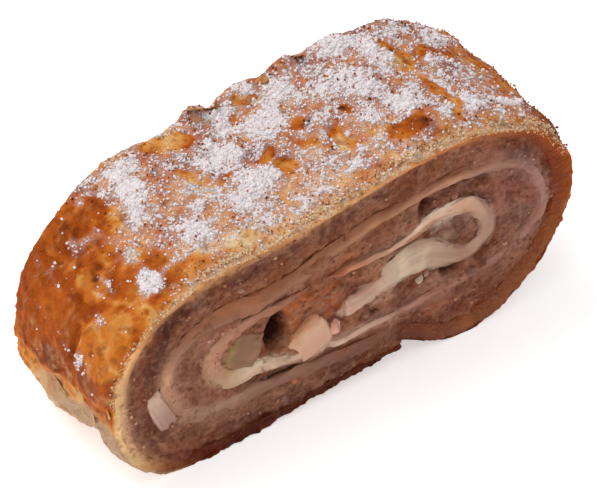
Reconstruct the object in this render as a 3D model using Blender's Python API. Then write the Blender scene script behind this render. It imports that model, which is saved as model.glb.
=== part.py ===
"""A slice of walnut strudel, modelled the way the pastry is made.

One sheet of dough is spread with walnut filling and diced fruit, rolled up three turns,
baked, and cut across twice. The section of the roll lies in the XZ plane, longest along X,
and the two knife cuts face -Y and +Y. The origin is the middle of the footprint, on the
surface that the slice rests on. Lengths are in metres: a value in millimetres times MM.
"""
import bmesh
import bpy
import numpy as np
from math import radians
from mathutils import Euler, Vector

MM = 0.001

# ---- driving dimensions -------------------------------------------------------------------
CUT_TO_CUT = 41.5 * MM            # the slice, from one knife cut to the other
BACK_TAPER = 6.5 * MM             # how much shorter the slice is at its left side
TAPER_FROM, TAPER_RUN = -29.0 * MM, 28.0 * MM
CLEARANCE = 0.3 * MM              # gap kept between two solids that touch
FILLING_RECESS = 0.6 * MM         # the soft filling sits back from the cut dough

SHEET_STEPS = 250                 # stations along the rolled sheet
BEND_WEIGHT = 3.5 * MM            # a radian of bend counts as this much length of sheet
CRUST_STRIPS = 18                 # strips across the outside of the roll
CRUMB_CELL = 4.2 * MM             # size of the uneven patches on the cut filling

# The rolled sheet, from its inner end outwards, seen on the front cut. At each station it
# runs LEVEL or UPRIGHT, and between two stations it bends in one quarter turn or drifts.
# Columns: run, x, z, thickness of the dough, fullness of the bend that starts there
# (2 is a quarter ellipse, more is squarer). Millimetres.
LEVEL, UPRIGHT = 0, 1
STATIONS = np.array([
    (LEVEL, -0.4, 22.6, 4.2, 2.0),      # inner end
    (LEVEL, 17.9, 26.9, 7.4, 2.0),      # thick soft arm of unbaked dough
    (LEVEL, 29.9, 22.1, 4.4, 2.2),
    (UPRIGHT, 35.3, 26.9, 4.2, 2.2),    # first turn, right
    (LEVEL, 23.4, 35.8, 3.4, 2.0),
    (LEVEL, 13.9, 32.9, 1.8, 2.0),
    (LEVEL, -13.1, 31.9, 2.0, 2.2),
    (UPRIGHT, -33.4, 24.2, 4.4, 2.2),   # first turn, left
    (LEVEL, -25.1, 18.6, 4.2, 2.0),
    (LEVEL, -7.1, 14.8, 2.0, 2.0),      # pressed thin under the diced fruit
    (LEVEL, 14.9, 14.4, 2.2, 2.3),
    (UPRIGHT, 48.9, 26.5, 2.8, 2.2),    # second turn, right
    (LEVEL, 25.9, 43.9, 3.2, 2.0),
    (LEVEL, -26.1, 35.7, 5.0, 2.2),
    (UPRIGHT, -43.6, 25.5, 3.8, 2.2),   # second turn, left
    (LEVEL, -30.1, 11.7, 3.6, 2.0),
    (LEVEL, 6.9, 10.1, 3.4, 2.0),
    (LEVEL, 29.9, 2.5, 5.4, 1.68),       # the sheet comes out: right foot
    (UPRIGHT, 54.7, 27.5, 5.2, 2.2),    # crust, right side
    (LEVEL, 22.9, 52.7, 2.6, 2.0),      # crust, top
    (LEVEL, -21.1, 48.1, 2.8, 2.4),
    (UPRIGHT, -55.5, 23.5, 3.4, 2.3),   # crust, left side
    (LEVEL, -35.1, 1.4, 3.4, 2.0),      # left foot
    (LEVEL, 13.8, 4.6, 1.1, 2.0),       # outer end, tucked under the roll
])
CRUST_START = 16.3                # stations passed where the outside of the sheet becomes crust
LEFT_FOOT = 22                    # distances over the crust are measured from this station

# Relief of the crust. Columns: distance over the crust from the left foot, distance back
# from the front cut, half sizes along those two ways, and lift. Millimetres.
BLISTERS = np.array([
    (18, 27, 11, 15, 2.1),              # swollen foot of the left side
    (17, 7, 9, 7, 1.3),
    (160, 25, 16, 27, 1.7),             # full right shoulder
    (165, 8, 9, 7, 2.3),
    (142, 24, 4, 16, 0.9),              # ridge that crosses the top
    (94, 41, 5, 6, 2.9),                # lumps along the rear cut
    (104, 41, 6, 6, 2.1),
    (117, 40, 5, 7, 1.5),
    (128, 40, 5, 6, 1.2),
    (157, 36, 5, 5, 0.8),
    (72, 26, 7, 8, 0.7),
    (104, 12, 7, 6, 0.7),
    (132, 9, 6, 6, 0.7),
    (186, 18, 9, 12, 1.0),
])
FLAKES = np.array([
    (42, 27, 11, 10, 1.0),              # large bare flakes on the left side
    (42, 8, 10, 8, 0.8),
    (60, 29, 8, 8, 0.7),
    (88, 34, 6, 5, 0.8),
    (128, 7, 5, 6, 0.6),
    (172, 26, 8, 9, 0.8),
    (183, 10, 8, 7, 0.7),
])
HOLLOWS = np.array([
    (113, 16, 2, 6, 1.0),               # leaf-shaped hollow
    (55, 14, 2.5, 9, 0.9),              # torn edge above the left flakes
    (52, 36, 3, 5, 1.0),
    (66, 40, 8, 7, 0.9),
    (99, 33, 3, 3, 0.8),
    (97, 22, 3, 3, 0.8),
    (118, 23, 3, 3, 0.8),
    (151, 22, 3, 9, 0.8),
])
CRUST_SWELL = 0.45 * MM           # height of the slow unevenness of the crust
CRUST_PIMPLE = 0.3 * MM           # height of the finer unevenness

# Diced fruit: node, place of its middle, size along its own axes, turn about Y. Millimetres.
FRONT = -CUT_TO_CUT / 2
BACK = CUT_TO_CUT / 2
FRUIT = [
    ("fruit_dice_pale", (-8.8, -15.9, 19.0), (10.0, 10.8, 10.0), -24),
    ("fruit_dice_green", (-25.3, -16.3, 24.0), (9.2, 9.6, 9.0), 25),
    ("fruit_sliver", (-45.6, -17.4, 18.4), (4.6, 7.4, 12.8), -24),
    ("fruit_dice_rear", (-18.5, 15.6, 24.0), (9.6, 10.2, 8.8), 18),
    ("fruit_dice_rear_small", (40.6, 16.6, 27.5), (7.0, 8.2, 8.6), -20),
]

DOUGH_COLOUR = (0.62, 0.42, 0.24)
FILLING_COLOUR = (0.20, 0.10, 0.07)
FRUIT_COLOUR = (0.72, 0.62, 0.42)


# ---- helpers ------------------------------------------------------------------------------
def smooth(t):
    """Ease from 0 to 1 with a level start and end."""
    t = np.clip(t, 0.0, 1.0)
    return t * t * (3 - 2 * t)


def unevenness(u, v, seed):
    """Smooth noise from -1 to 1: random values on a unit grid, eased between grid points."""
    grid = np.random.RandomState(seed).uniform(-1, 1, (64, 64))
    i, j = np.floor(u).astype(int), np.floor(v).astype(int)
    fu, fv = smooth(u - i), smooth(v - j)
    low = grid[i % 64, j % 64] * (1 - fu) + grid[(i + 1) % 64, j % 64] * fu
    high = grid[i % 64, (j + 1) % 64] * (1 - fu) + grid[(i + 1) % 64, (j + 1) % 64] * fu
    return low * (1 - fv) + high * fv


def section(q):
    """Middle line of the rolled sheet at q, the number of stations passed: x, z, thickness.

    From a level to an upright station, and back, the line is a quarter of a superellipse.
    Between two level stations it runs straight in x and eases in z.
    """
    i = np.clip(np.floor(q).astype(int), 0, len(STATIONS) - 2)
    t = np.clip(q - i, 1e-6, 1 - 1e-6)
    here, there = STATIONS[i], STATIONS[i + 1]
    power = 2 / here[:, 4]
    rise, fall = np.sin(t * np.pi / 2) ** power, np.cos(t * np.pi / 2) ** power
    ease = smooth(t)
    step = there - here
    drift = (here[:, 0] == LEVEL) & (there[:, 0] == LEVEL)
    from_level = here[:, 0] == LEVEL
    x = np.where(from_level, here[:, 1] + step[:, 1] * rise, there[:, 1] - step[:, 1] * fall)
    z = np.where(from_level, there[:, 2] - step[:, 2] * fall, here[:, 2] + step[:, 2] * rise)
    x = np.where(drift, here[:, 1] + step[:, 1] * t, x)
    z = np.where(drift, here[:, 2] + step[:, 2] * ease, z)
    return x * MM, z * MM, (here[:, 3] + step[:, 3] * ease) * MM


def roll_path():
    """Stops along the sheet, closer together where it bends: x, z, thickness, normal, length."""
    q = np.linspace(0, len(STATIONS) - 1, 9000)
    x, z, _ = section(q)
    step = np.hypot(np.diff(x), np.diff(z))
    heading = np.unwrap(np.arctan2(np.diff(z), np.diff(x)))
    bend = np.abs(np.diff(heading, prepend=heading[0]))
    effort = np.r_[0, np.cumsum(step + BEND_WEIGHT * bend)]
    length = np.r_[0, np.cumsum(step)]
    q_stop = np.interp(np.linspace(0, effort[-1], SHEET_STEPS + 1), effort, q)
    x, z, thick = section(q_stop)
    along = np.interp(q_stop, q, length)
    tx, tz = np.gradient(x, along), np.gradient(z, along)
    size = np.hypot(tx, tz)
    foot = np.interp(LEFT_FOOT, q, length)
    return {"x": x, "z": z, "thick": thick, "tx": tx / size, "tz": tz / size,
            "nx": tz / size, "nz": -tx / size, "over": foot - along, "q": q_stop}


def settle(x, y, z):
    """The slice is no perfect prism: its back cut slants towards the left side."""
    depth = CUT_TO_CUT - BACK_TAPER * smooth((TAPER_FROM - x) / TAPER_RUN)
    return np.stack([x, FRONT + (y - FRONT) / CUT_TO_CUT * depth, np.maximum(z, 0.0)], axis=-1)


def spots(table, over, back, edge):
    """Sum of the relief features in a table; edge 1 gives domes, a small edge steep rims."""
    total = np.zeros_like(over)
    for middle, from_front, half_over, half_back, lift in table * MM:
        reach = np.hypot((over - middle) / half_over, (back - from_front) / half_back)
        total += lift * smooth((1 - reach) / edge)
    return total


def crust_relief(over, back, z):
    """Lift of the crust: slow swell, pimples, blisters, flakes and hollows, none at the feet."""
    lift = CRUST_SWELL * unevenness(over / (13 * MM) + 20, back / (10 * MM), 4)
    lift += CRUST_PIMPLE * unevenness(over / (5 * MM) + 50, back / (5 * MM), 9)
    ragged = 1.5 * MM * unevenness(over / (4 * MM) + 50, back / (4 * MM), 12)
    lift += spots(BLISTERS, over, back, 1.0) + spots(FLAKES, over + ragged, back, 0.2)
    lift -= spots(HOLLOWS, over, back, 0.8)
    return lift * smooth((z - 1.0 * MM) / (4 * MM))


def colour_material(name, colour, roughness):
    material = bpy.data.materials.new(name)
    material.use_nodes = True
    shader = material.node_tree.nodes["Principled BSDF"]
    shader.inputs["Base Color"].default_value = (*colour, 1.0)
    shader.inputs["Roughness"].default_value = roughness
    shader.inputs["Metallic"].default_value = 0.0
    material.diffuse_color = (*colour, 1.0)
    return material


def add_object(name, bm, collection, material=None):
    """Turn a closed bmesh into a named object of a collection, with its faces pointing out."""
    bmesh.ops.recalc_face_normals(bm, faces=bm.faces)
    if bm.calc_volume(signed=True) < 0:
        bmesh.ops.reverse_faces(bm, faces=bm.faces)
    mesh = bpy.data.meshes.new(name)
    bm.to_mesh(mesh)
    bm.free()
    obj = bpy.data.objects.new(name, mesh)
    collection.objects.link(obj)
    if material:
        mesh.materials.append(material)
    return obj


def hide_cutter(obj):
    obj.hide_render = True
    obj.display_type = "WIRE"
    return obj


def places_of(bm):
    return np.array([vert.co[:] for vert in bm.verts])


def move_to(bm, places):
    for vert, place in zip(bm.verts, places):
        vert.co = Vector(place)


# ---- dough --------------------------------------------------------------------------------
def flat_sheet(strips):
    """A unit slab cut into stations along X, its crust side also into strips along Y."""
    bm = bmesh.new()
    bmesh.ops.create_cube(bm, size=1.0)
    lengthwise = [e for e in bm.edges if abs(e.verts[0].co.x - e.verts[1].co.x) > 0.5]
    bmesh.ops.subdivide_edges(bm, edges=lengthwise, cuts=SHEET_STEPS - 1, use_grid_fill=True)
    if strips > 1:
        start = np.searchsorted(ROLL["q"], CRUST_START) / SHEET_STEPS - 0.5
        crossing = [e for e in bm.edges
                    if abs(e.verts[0].co.y - e.verts[1].co.y) > 0.5
                    and e.verts[0].co.z > 0 and e.verts[0].co.x > start]
        bmesh.ops.subdivide_edges(bm, edges=crossing, cuts=strips - 1, use_grid_fill=True)
    return bm


def roll_up(bm, grow=0.0, overhang=0.0, relief=True):
    """Carry the flat sheet along the spiral. grow fattens it, overhang widens it along Y."""
    flat = places_of(bm)
    stop = np.rint((flat[:, 0] + 0.5) * SHEET_STEPS).astype(int)
    side = np.sign(flat[:, 2])
    roll = {key: value[stop] for key, value in ROLL.items()}
    out = side * (roll["thick"] / 2 + grow)
    end = grow * ((stop == SHEET_STEPS).astype(float) - (stop == 0))
    y = flat[:, 1] * (CUT_TO_CUT + 2 * overhang)
    if relief:
        crust = (side > 0) & (roll["q"] > CRUST_START)
        z = roll["z"] + roll["nz"] * out
        lift = crust_relief(roll["over"], y - FRONT, z)
        held = 0.4 + 0.6 * smooth((y - FRONT) / (4 * MM))
        out = out + np.where(crust, lift * held, 0.0)
        y = y + np.sign(flat[:, 1]) * (np.abs(flat[:, 1]) > 0.49) * (
            0.25 * MM * unevenness(roll["over"] / (4 * MM) + 150, side + 9.5, 31))
    x = roll["x"] + roll["nx"] * out + roll["tx"] * end
    z = roll["z"] + roll["nz"] * out + roll["tz"] * end
    return x, y, z


def pastry_roll(collection):
    bm = flat_sheet(CRUST_STRIPS)
    move_to(bm, settle(*roll_up(bm)))
    bmesh.ops.triangulate(bm, faces=bm.faces)
    dough = colour_material("baked_dough", DOUGH_COLOUR, 0.55)
    roll = add_object("pastry_roll", bm, collection, dough)
    roll.data.shade_smooth()
    roll.data.set_sharp_from_angle(angle=radians(40))
    return roll


# ---- fruit --------------------------------------------------------------------------------
def fruit_piece(name, middle, size, turn, collection, grow=0.0):
    """A soft dice of fruit: a cube rounded to a superellipsoid, a little uneven."""
    bm = bmesh.new()
    bmesh.ops.create_cube(bm, size=2.0)
    bmesh.ops.subdivide_edges(bm, edges=bm.edges, cuts=3, use_grid_fill=True)
    cube = places_of(bm)
    largest = np.abs(cube).max(axis=1)
    rounded = cube * (largest / (np.abs(cube) ** 5).sum(axis=1) ** (1 / 5))[:, None]
    seed = int(abs(middle[0]) * 10)
    rounded *= 1 + 0.05 * unevenness(cube[:, 0] * 2 + 9, cube[:, 2] * 2 + cube[:, 1] + 9, seed)[:, None]
    half = np.array(size) * MM / 2 + grow
    tilt = np.array(Euler((0, radians(turn), 0)).to_matrix())
    spot = (rounded * half) @ tilt.T + np.array(middle) * MM
    spot[:, 1] = np.clip(spot[:, 1], FRONT + 0.2 * MM - grow, BACK - 0.2 * MM + grow)
    move_to(bm, spot)
    fruit = None if grow else colour_material(name, FRUIT_COLOUR, 0.4)
    return add_object(name, bm, collection, fruit)


# ---- filling ------------------------------------------------------------------------------
def thicken(bm):
    """Extrude a flat sheet into a closed block, and return the vertices of its new side."""
    sheet = bm.faces[:] + bm.edges[:] + bm.verts[:]
    block = bmesh.ops.extrude_face_region(bm, geom=sheet, use_keep_orig=True)
    return [item for item in block["geom"] if isinstance(item, bmesh.types.BMVert)]


def crumbly_block():
    """A block as large as the roll, its two cut faces uneven with crumbs."""
    wide, high = 120 * MM, 58 * MM
    columns, rows = round(wide / CRUMB_CELL), round(high / CRUMB_CELL)
    bm = bmesh.new()
    bmesh.ops.create_grid(bm, x_segments=columns, y_segments=rows, size=0.5)
    for vert in thicken(bm):
        vert.co.z = 1.0
    flat = places_of(bm)
    x, z = flat[:, 0] * wide, flat[:, 1] * high + high / 2 - 1 * MM
    crumb = 0.45 * MM * unevenness(x / (6 * MM) + 20, z / (5 * MM), 17)
    crumb += 0.3 * MM * unevenness(x / (3.4 * MM) + 30, z / (3.4 * MM), 23)
    front = FRONT + FILLING_RECESS + 0.3 * MM + crumb + cut_cavity(x, z)
    back = BACK - FILLING_RECESS - 0.3 * MM - crumb
    move_to(bm, np.stack([x, np.where(flat[:, 2] > 0.5, front, back), z], axis=-1))
    return bm


def cut_cavity(x, z):
    """Depth of the hollow that a piece of fruit left in the front cut."""
    reach = np.hypot((x + 17.4 * MM) / (4.4 * MM), (z - 25.4 * MM) / (5.2 * MM))
    return 5.0 * MM * smooth(1.3 * (1 - reach))


def inside_of_roll():
    """A prism bounded by the middle line of the outermost turn, closed at the seam."""
    turn = (ROLL["q"] > CRUST_START) & (ROLL["q"] < len(STATIONS) - 1.02)
    x, z = ROLL["x"][turn], ROLL["z"][turn]
    bm = bmesh.new()
    rim = [bm.verts.new((a, FRONT - 3 * MM, b)) for a, b in zip(x, z)]
    bm.faces.new(rim)
    for vert in thicken(bm):
        vert.co.y = BACK + 3 * MM
    return bm


def boolean(obj, cutter, operation):
    step = obj.modifiers.new(operation.lower(), "BOOLEAN")
    step.object = cutter
    step.operation = operation
    step.solver = "EXACT"


def apply_and_keep_largest(obj):
    """Make the modifiers' result the mesh, and drop every loose scrap but the largest piece."""
    result = bpy.data.meshes.new_from_object(obj.evaluated_get(bpy.context.evaluated_depsgraph_get()))
    obj.modifiers.clear()
    bm = bmesh.new()
    bm.from_mesh(result)
    bmesh.ops.remove_doubles(bm, verts=bm.verts, dist=0.00001)
    bmesh.ops.dissolve_degenerate(bm, edges=bm.edges, dist=0.00001)
    unseen, pieces = set(bm.verts), []
    while unseen:
        piece, edge_of = set(), [unseen.pop()]
        while edge_of:
            vert = edge_of.pop()
            piece.add(vert)
            near = {e.other_vert(vert) for e in vert.link_edges} & unseen
            unseen -= near
            edge_of += near
        pieces.append(piece)
    pieces.sort(key=len)
    bmesh.ops.delete(bm, geom=[v for piece in pieces[:-1] for v in piece], context="VERTS")
    move_to(bm, settle(*places_of(bm).T))
    bmesh.ops.triangulate(bm, faces=bm.faces)
    bm.to_mesh(obj.data)
    bm.free()
    bpy.data.meshes.remove(result)


def walnut_filling(collection, cutters):
    """What the rolled dough and the fruit leave free inside the roll."""
    filling = add_object("walnut_filling", crumbly_block(), collection,
                         colour_material("walnut_filling", FILLING_COLOUR, 0.6))
    inside = hide_cutter(add_object("inside_of_roll", inside_of_roll(), cutters))
    sheet = flat_sheet(1)
    move_to(sheet, np.stack(roll_up(sheet, CLEARANCE, 5 * MM, relief=False), axis=-1))
    dough_room = hide_cutter(add_object("dough_room", sheet, cutters))
    boolean(filling, inside, "INTERSECT")
    boolean(filling, dough_room, "DIFFERENCE")
    for name, middle, size, turn in FRUIT:
        fruit = bpy.data.objects[name]
        room = hide_cutter(fruit_piece(name + "_room", middle, size, turn, cutters, CLEARANCE))
        boolean(filling, room, "DIFFERENCE")
        boolean(fruit, dough_room, "DIFFERENCE")
        apply_and_keep_largest(fruit)
    apply_and_keep_largest(filling)
    return filling


def build():
    for obj in list(bpy.data.objects):
        bpy.data.objects.remove(obj, do_unlink=True)
    strudel = bpy.data.collections.new("walnut_strudel")
    cutters = bpy.data.collections.new("cutters")
    bpy.context.scene.collection.children.link(strudel)
    bpy.context.scene.collection.children.link(cutters)
    pastry_roll(strudel)
    for name, middle, size, turn in FRUIT:
        fruit_piece(name, middle, size, turn, strudel)
    walnut_filling(strudel, cutters)
    for obj in strudel.objects:
        print(obj.name, "triangles", len(obj.data.polygons))


ROLL = roll_path()
build()
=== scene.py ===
# %% [markdown]
# # A slice of walnut strudel
# A strudel is one thin sheet of dough, spread with ground walnuts and diced fruit and rolled up.
# The slice shows the sheet twice: as the browned, sugared crust outside, and as the pale spiral
# at the two knife cuts. So almost every piece below is built on one curve, the middle line of the
# rolled sheet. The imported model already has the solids. This script gives them their surfaces.

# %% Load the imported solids
import bpy
import numpy as np
from math import cos, radians, sin
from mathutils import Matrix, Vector


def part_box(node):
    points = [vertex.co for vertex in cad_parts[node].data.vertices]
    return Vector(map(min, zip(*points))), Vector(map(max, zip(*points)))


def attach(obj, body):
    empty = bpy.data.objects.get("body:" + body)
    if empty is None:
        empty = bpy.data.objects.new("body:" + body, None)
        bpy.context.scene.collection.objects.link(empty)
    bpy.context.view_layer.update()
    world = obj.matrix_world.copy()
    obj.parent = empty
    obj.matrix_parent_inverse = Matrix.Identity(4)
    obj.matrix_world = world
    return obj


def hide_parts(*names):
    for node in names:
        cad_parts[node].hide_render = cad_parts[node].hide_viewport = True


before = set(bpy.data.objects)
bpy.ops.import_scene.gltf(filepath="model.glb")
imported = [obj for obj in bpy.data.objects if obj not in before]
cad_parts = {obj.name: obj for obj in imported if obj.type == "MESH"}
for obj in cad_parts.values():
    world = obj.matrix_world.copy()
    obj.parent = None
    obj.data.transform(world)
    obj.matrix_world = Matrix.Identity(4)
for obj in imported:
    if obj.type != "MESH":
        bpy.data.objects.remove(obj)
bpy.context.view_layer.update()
MM = 0.001
ROLL_LOW, ROLL_HIGH = (np.array(corner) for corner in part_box("pastry_roll"))
print("solids:", sorted(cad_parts))
print("size of the slice in mm:", np.round((ROLL_HIGH - ROLL_LOW) / MM, 1))

# %% [markdown]
# ## Small tools
# A surface here is a grid of points, worked out as one array, so a few general tools do for every
# piece: one that turns a grid into a mesh, one for smooth noise, and one that stores a number or
# a colour on each point for the material to read. Noise from a small table of seeded random
# values gives the same lumps on every run, and the solids' own relief uses the same noise.


# %% Tools for arrays
def smooth(t):
    """Ease from 0 to 1 with a level start and end: 3 t squared minus 2 t cubed."""
    t = np.clip(t, 0.0, 1.0)
    return t * t * (3 - 2 * t)


TABLE = 64  # the random tables hold this many cells each way, and then repeat


def unevenness(u, v, seed):
    """Smooth noise from -1 to 1: random values on a unit grid, eased between grid points."""
    table = np.random.RandomState(seed).uniform(-1, 1, (TABLE, TABLE))
    i, j = np.floor(u).astype(int), np.floor(v).astype(int)
    fu, fv = smooth(u - i), smooth(v - j)
    i, next_i, j, next_j = i % TABLE, (i + 1) % TABLE, j % TABLE, (j + 1) % TABLE
    low = table[i, j] * (1 - fu) + table[next_i, j] * fu
    high = table[i, next_j] * (1 - fu) + table[next_i, next_j] * fu
    return low * (1 - fv) + high * fv


def crumbliness(u, v, size, seed, octaves=3):
    """Noise of several sizes added up: each octave is half as large and half as strong."""
    total = sum(unevenness(u / size * 2 ** k + 7 * k, v / size * 2 ** k + 3 * k, seed + k) / 2 ** k
                for k in range(octaves))
    return total / (2 - 0.5 ** (octaves - 1))


def spots(table, u, v, edge):
    """Sum of oval spots (u, v, half size u, half size v, strength), in mm; edge 1 is a dome."""
    total = np.zeros(np.broadcast(u, v).shape)
    for middle_u, middle_v, half_u, half_v, strength in table:
        reach = np.hypot((u / MM - middle_u) / half_u, (v / MM - middle_v) / half_v)
        total += strength * smooth((1 - reach) / edge)
    return total


# %% Tools for colours
def linear(hex_colour):
    """An sRGB hex colour as linear red, green and blue."""
    value = np.array([int(hex_colour[i:i + 2], 16) for i in (1, 3, 5)]) / 255
    return np.where(value <= 0.04045, value / 12.92, ((value + 0.055) / 1.055) ** 2.4)


def shade(amount, stops):
    """Colour for each amount, read off a list of (amount, hex colour) stops."""
    at = [stop for stop, _ in stops]
    colours = np.array([linear(hex_colour) for _, hex_colour in stops])
    return np.stack([np.interp(amount, at, colours[:, k]) for k in range(3)], axis=-1)


def blend(colour, hex_colour, weight):
    """Mix a named colour into an array of colours by an array of weights."""
    return colour + (linear(hex_colour) - colour) * np.clip(weight, 0, 1)[..., None]


# %% Tools for meshes
def add_piece(name, points, faces, numbers, colours):
    """A mesh object at the origin, with named numbers and colours stored on its points."""
    mesh = bpy.data.meshes.new(name)
    mesh.from_pydata(points, [], faces)
    for key, value in numbers.items():
        mesh.attributes.new(key, "FLOAT", "POINT").data.foreach_set("value", value.ravel())
    for key, value in colours.items():
        rgba = np.concatenate([value, np.ones((len(value), 1))], axis=1)
        mesh.attributes.new(key, "FLOAT_COLOR", "POINT").data.foreach_set("color", rgba.ravel())
    mesh.polygons.foreach_set("use_smooth", np.full(len(mesh.polygons), True))
    mesh.validate()
    piece = bpy.data.objects.new(name, mesh)
    bpy.context.scene.collection.objects.link(piece)
    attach(piece, "root")
    print(name, "has", len(mesh.polygons), "faces")
    return piece


# %% Tools for closed surfaces
def closed_grid(points):
    """Points and faces of a row of closed rings, with a fan of triangles over each end ring."""
    rows, columns = points.shape[:2]
    ring, after = np.arange(columns), (np.arange(columns) + 1) % columns
    row = np.arange(rows - 1)[:, None] * columns
    sides = np.stack([row + ring, row + after, row + columns + after, row + columns + ring], axis=-1)
    last, centre = (rows - 1) * columns, rows * columns
    start = np.stack([after, ring, np.full(columns, centre)], axis=1)
    end = np.stack([last + ring, last + after, np.full(columns, centre + 1)], axis=1)
    places = np.concatenate([points.reshape(-1, 3), points[[0, -1]].mean(axis=1)])
    return places, sides.reshape(-1, 4).tolist() + start.tolist() + end.tolist()


def with_ends(values):
    """Values on a row of rings as one list, and then those for the centres of its two ends."""
    flat = values.reshape(values.shape[0] * values.shape[1], -1)
    return np.concatenate([flat, values[[0, -1], 0].reshape(2, -1)])


def closed_piece(name, points, colour, numbers):
    """A row of closed rings as a piece, with its colour and numbers."""
    places, faces = closed_grid(points)
    numbers = {key: with_ends(value) for key, value in numbers.items()}
    return add_piece(name, places, faces, numbers, {"tone": with_ends(colour)})


def point_normals(points):
    """Normals of a grid of points, from the two ways along the grid."""
    along, across = np.gradient(points, axis=0), np.gradient(points, axis=1)
    normal = np.cross(along, across)
    return normal / np.maximum(np.linalg.norm(normal, axis=-1, keepdims=True), 1e-12)


# %% [markdown]
# ## The curve of the rolled sheet
# A rolled sheet could be an exact spiral, but a heavy soft roll sags to a flat oval whose turns
# are all a little different. So the curve is given as stations where the sheet runs level or
# upright, the way one would describe it in words, and a quarter of a superellipse joins one
# station to the next. The solids were made from the same stations.

# %% Stations of the rolled sheet, from its inner end outwards, in mm
CUT_TO_CUT, BACK_TAPER = 41.5 * MM, 6.5 * MM
TAPER_FROM, TAPER_RUN = -29.0 * MM, 28.0 * MM
FRONT, BACK = -CUT_TO_CUT / 2, CUT_TO_CUT / 2
LEVEL, UPRIGHT = 0, 1
STATIONS = np.array([  # run, x, z, thickness of the dough, fullness of the bend that follows
    (LEVEL, -0.4, 22.6, 4.2, 2.0),
    (LEVEL, 17.9, 26.9, 7.4, 2.0),
    (LEVEL, 29.9, 22.1, 4.4, 2.2),
    (UPRIGHT, 35.3, 26.9, 4.2, 2.2),
    (LEVEL, 23.4, 35.8, 3.4, 2.0),
    (LEVEL, 13.9, 32.9, 1.8, 2.0),
    (LEVEL, -13.1, 31.9, 2.0, 2.2),
    (UPRIGHT, -33.4, 24.2, 4.4, 2.2),
    (LEVEL, -25.1, 18.6, 4.2, 2.0),
    (LEVEL, -7.1, 14.8, 2.0, 2.0),
    (LEVEL, 14.9, 14.4, 2.2, 2.3),
    (UPRIGHT, 48.9, 26.5, 2.8, 2.2),
    (LEVEL, 25.9, 43.9, 3.2, 2.0),
    (LEVEL, -26.1, 35.7, 5.0, 2.2),
    (UPRIGHT, -43.6, 25.5, 3.8, 2.2),
    (LEVEL, -30.1, 11.7, 3.6, 2.0),
    (LEVEL, 6.9, 10.1, 3.4, 2.0),
    (LEVEL, 29.9, 2.5, 5.4, 1.68),
    (UPRIGHT, 54.7, 27.5, 5.2, 2.2),
    (LEVEL, 22.9, 52.7, 2.6, 2.0),
    (LEVEL, -21.1, 48.1, 2.8, 2.4),
    (UPRIGHT, -55.5, 23.5, 3.4, 2.3),
    (LEVEL, -35.1, 1.4, 3.4, 2.0),
    (LEVEL, 13.8, 4.6, 1.1, 2.0),
])
CRUST_START, LEFT_FOOT, OUTER_END = 16.3, 22, len(STATIONS) - 1


# %% Places along the curve
def section(q):
    """Middle line of the sheet after q stations: x, z and thickness.

    A bend is a quarter of a superellipse: one coordinate follows the sine and the other the
    cosine of the way along it, each to the power 2 over the fullness. A drift between two
    level stations runs straight in x and eases in z.
    """
    i = np.clip(np.floor(q).astype(int), 0, len(STATIONS) - 2)
    t = np.clip(q - i, 1e-6, 1 - 1e-6)
    here, there = STATIONS[i], STATIONS[i + 1]
    power = 2 / here[:, 4]
    rise, fall = np.sin(t * np.pi / 2) ** power, np.cos(t * np.pi / 2) ** power
    step, ease = there - here, smooth(t)
    from_level = here[:, 0] == LEVEL
    drift = from_level & (there[:, 0] == LEVEL)
    x = np.where(from_level, here[:, 1] + step[:, 1] * rise, there[:, 1] - step[:, 1] * fall)
    z = np.where(from_level, there[:, 2] - step[:, 2] * fall, here[:, 2] + step[:, 2] * rise)
    x = np.where(drift, here[:, 1] + step[:, 1] * t, x)
    z = np.where(drift, here[:, 2] + step[:, 2] * ease, z)
    return x * MM, z * MM, (here[:, 3] + step[:, 3] * ease) * MM


def walk(start, end, spacing):
    """Stops every so many mm from station start to end: place, thickness, normal, lengths.

    The length so far is the sum of short straight steps, and the stops are read off it evenly.
    """
    short_steps = 12000
    q = np.linspace(0, OUTER_END, short_steps)
    x, z, _ = section(q)
    length = np.r_[0, np.cumsum(np.hypot(np.diff(x), np.diff(z)))]
    first, last, foot = np.interp([start, end, LEFT_FOOT], q, length)
    along = np.linspace(first, last, int((last - first) / (spacing * MM)))
    q = np.interp(along, length, q)
    x, z, thick = section(q)
    tx, tz = np.gradient(x, along), np.gradient(z, along)
    size = np.hypot(tx, tz)
    return {"q": q, "x": x, "z": z, "thick": thick, "nx": tz / size, "nz": -tx / size,
            "along": along, "over": foot - along}


def settle(x, y, z):
    """The slice is no perfect prism: its back cut slants towards the left side."""
    depth = CUT_TO_CUT - BACK_TAPER * smooth((TAPER_FROM - x) / TAPER_RUN)
    return np.stack([x, FRONT + (y - FRONT) / CUT_TO_CUT * depth, np.maximum(z, 0.0)], axis=-1)


SHEET = walk(0, OUTER_END, spacing=0.5)
print("length of the rolled sheet in mm:", round(float(np.ptp(SHEET["along"])) / MM))

# %% [markdown]
# ## What lies where on the crust
# A place on the crust is given by two lengths: how far over the roll it is from the left foot,
# and how far back from the front cut. In these two lengths the crust is a flat map. The relief
# of the solids, the sugar and the browning are then simple lists of oval spots on one map. They
# could be drawn as pictures, but lists in millimetres are easy to read and to change.

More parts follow.
